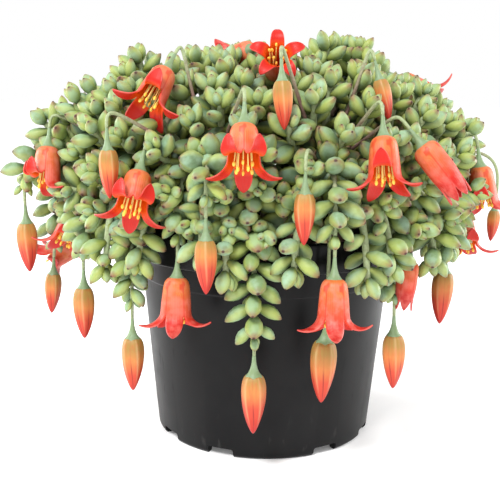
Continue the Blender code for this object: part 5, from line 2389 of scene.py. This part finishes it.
@dataclass(frozen=True)
class Lamp:
    """A soft light: where it stands, what it points at, its size and its power."""

    name: str
    where: tuple[float, float, float]
    aim: tuple[float, float, float]
    size: float
    power: float

    def build(self) -> None:
        """Add the light."""
        light = bpy.data.lights.new(self.name, "AREA")
        light.shape = "DISK"
        light.size = self.size
        light.energy = self.power
        thing = bpy.data.objects.new(self.name, light)
        thing.location = self.where
        thing.rotation_euler = (Vector(self.aim) - Vector(self.where)).to_track_quat("-Z", "Y").to_euler()
        bpy.context.scene.collection.objects.link(thing)


@dataclass
class Studio:
    """The camera, the soft lights and the pale ground."""

    eye: tuple[float, float, float] = (-7.94 * MM, -432.8 * MM, 174.4 * MM)
    look_down: float = 10.9
    roll: float = 0.73
    focal_pixels: float = 849.0
    frame_pixels: float = 500.0
    sensor: float = 36.0
    ground_size: float = 8.0
    daylight: float = 1.0

    lamps: tuple[Lamp, ...] = (
        Lamp("key", (-0.32, -0.80, 1.00), (0.0, 0.0, 0.12), 0.35, 14.0),
        Lamp("left_edge", (-0.80, 0.25, 0.30), (0.0, 0.0, 0.06), 0.35, 5.0),
        Lamp("right_edge", (0.80, 0.25, 0.30), (0.0, 0.0, 0.06), 0.35, 5.0),
    )

    def build(self) -> None:
        """Set up the camera, the ground and the light."""
        self.build_camera()
        self.build_ground()
        world = bpy.data.worlds.new("daylight")
        world.use_nodes = True
        background = world.node_tree.nodes["Background"]
        background.inputs["Color"].default_value = (1.0, 1.0, 1.0, 1.0)
        background.inputs["Strength"].default_value = self.daylight
        bpy.context.scene.world = world
        bpy.context.scene.view_settings.view_transform = "Standard"
        for lamp in self.lamps:
            lamp.build()

    def build_camera(self) -> None:
        """Stand the camera where the photograph was taken from."""
        camera = bpy.data.objects.new("camera", bpy.data.cameras.new("camera"))
        bpy.context.scene.collection.objects.link(camera)
        camera.data.sensor_width = self.sensor
        camera.data.lens = self.focal_pixels / self.frame_pixels * self.sensor
        camera.data.clip_start = 0.01
        camera.matrix_world = (
            Matrix.Translation(self.eye)
            @ Matrix.Rotation(math.radians(90.0 - self.look_down), 4, "X")
            @ Matrix.Rotation(math.radians(self.roll), 4, "Z")
        )
        bpy.context.scene.camera = camera

    def build_ground(self) -> None:
        """Lay the ground as a wide round sheet."""
        ground = Bench.disc("ground", 64)
        Bench.scale((self.ground_size, self.ground_size, 1.0))
        Bench.clear()
        ground.data.materials.append(PaperFinish().material())


def main() -> None:
    """Build the potted plant piece by piece."""
    logging.basicConfig(level=logging.INFO, format="%(message)s")
    Studio().build()
    flowers = Flowers([*SHOWN_FLOWERS, *hidden_flowers()], random.Random(3))
    flowers.build()
    Plant().build(flowers)
    Pot().build()
    Soil().build()


if __name__ == "__main__":
    main()
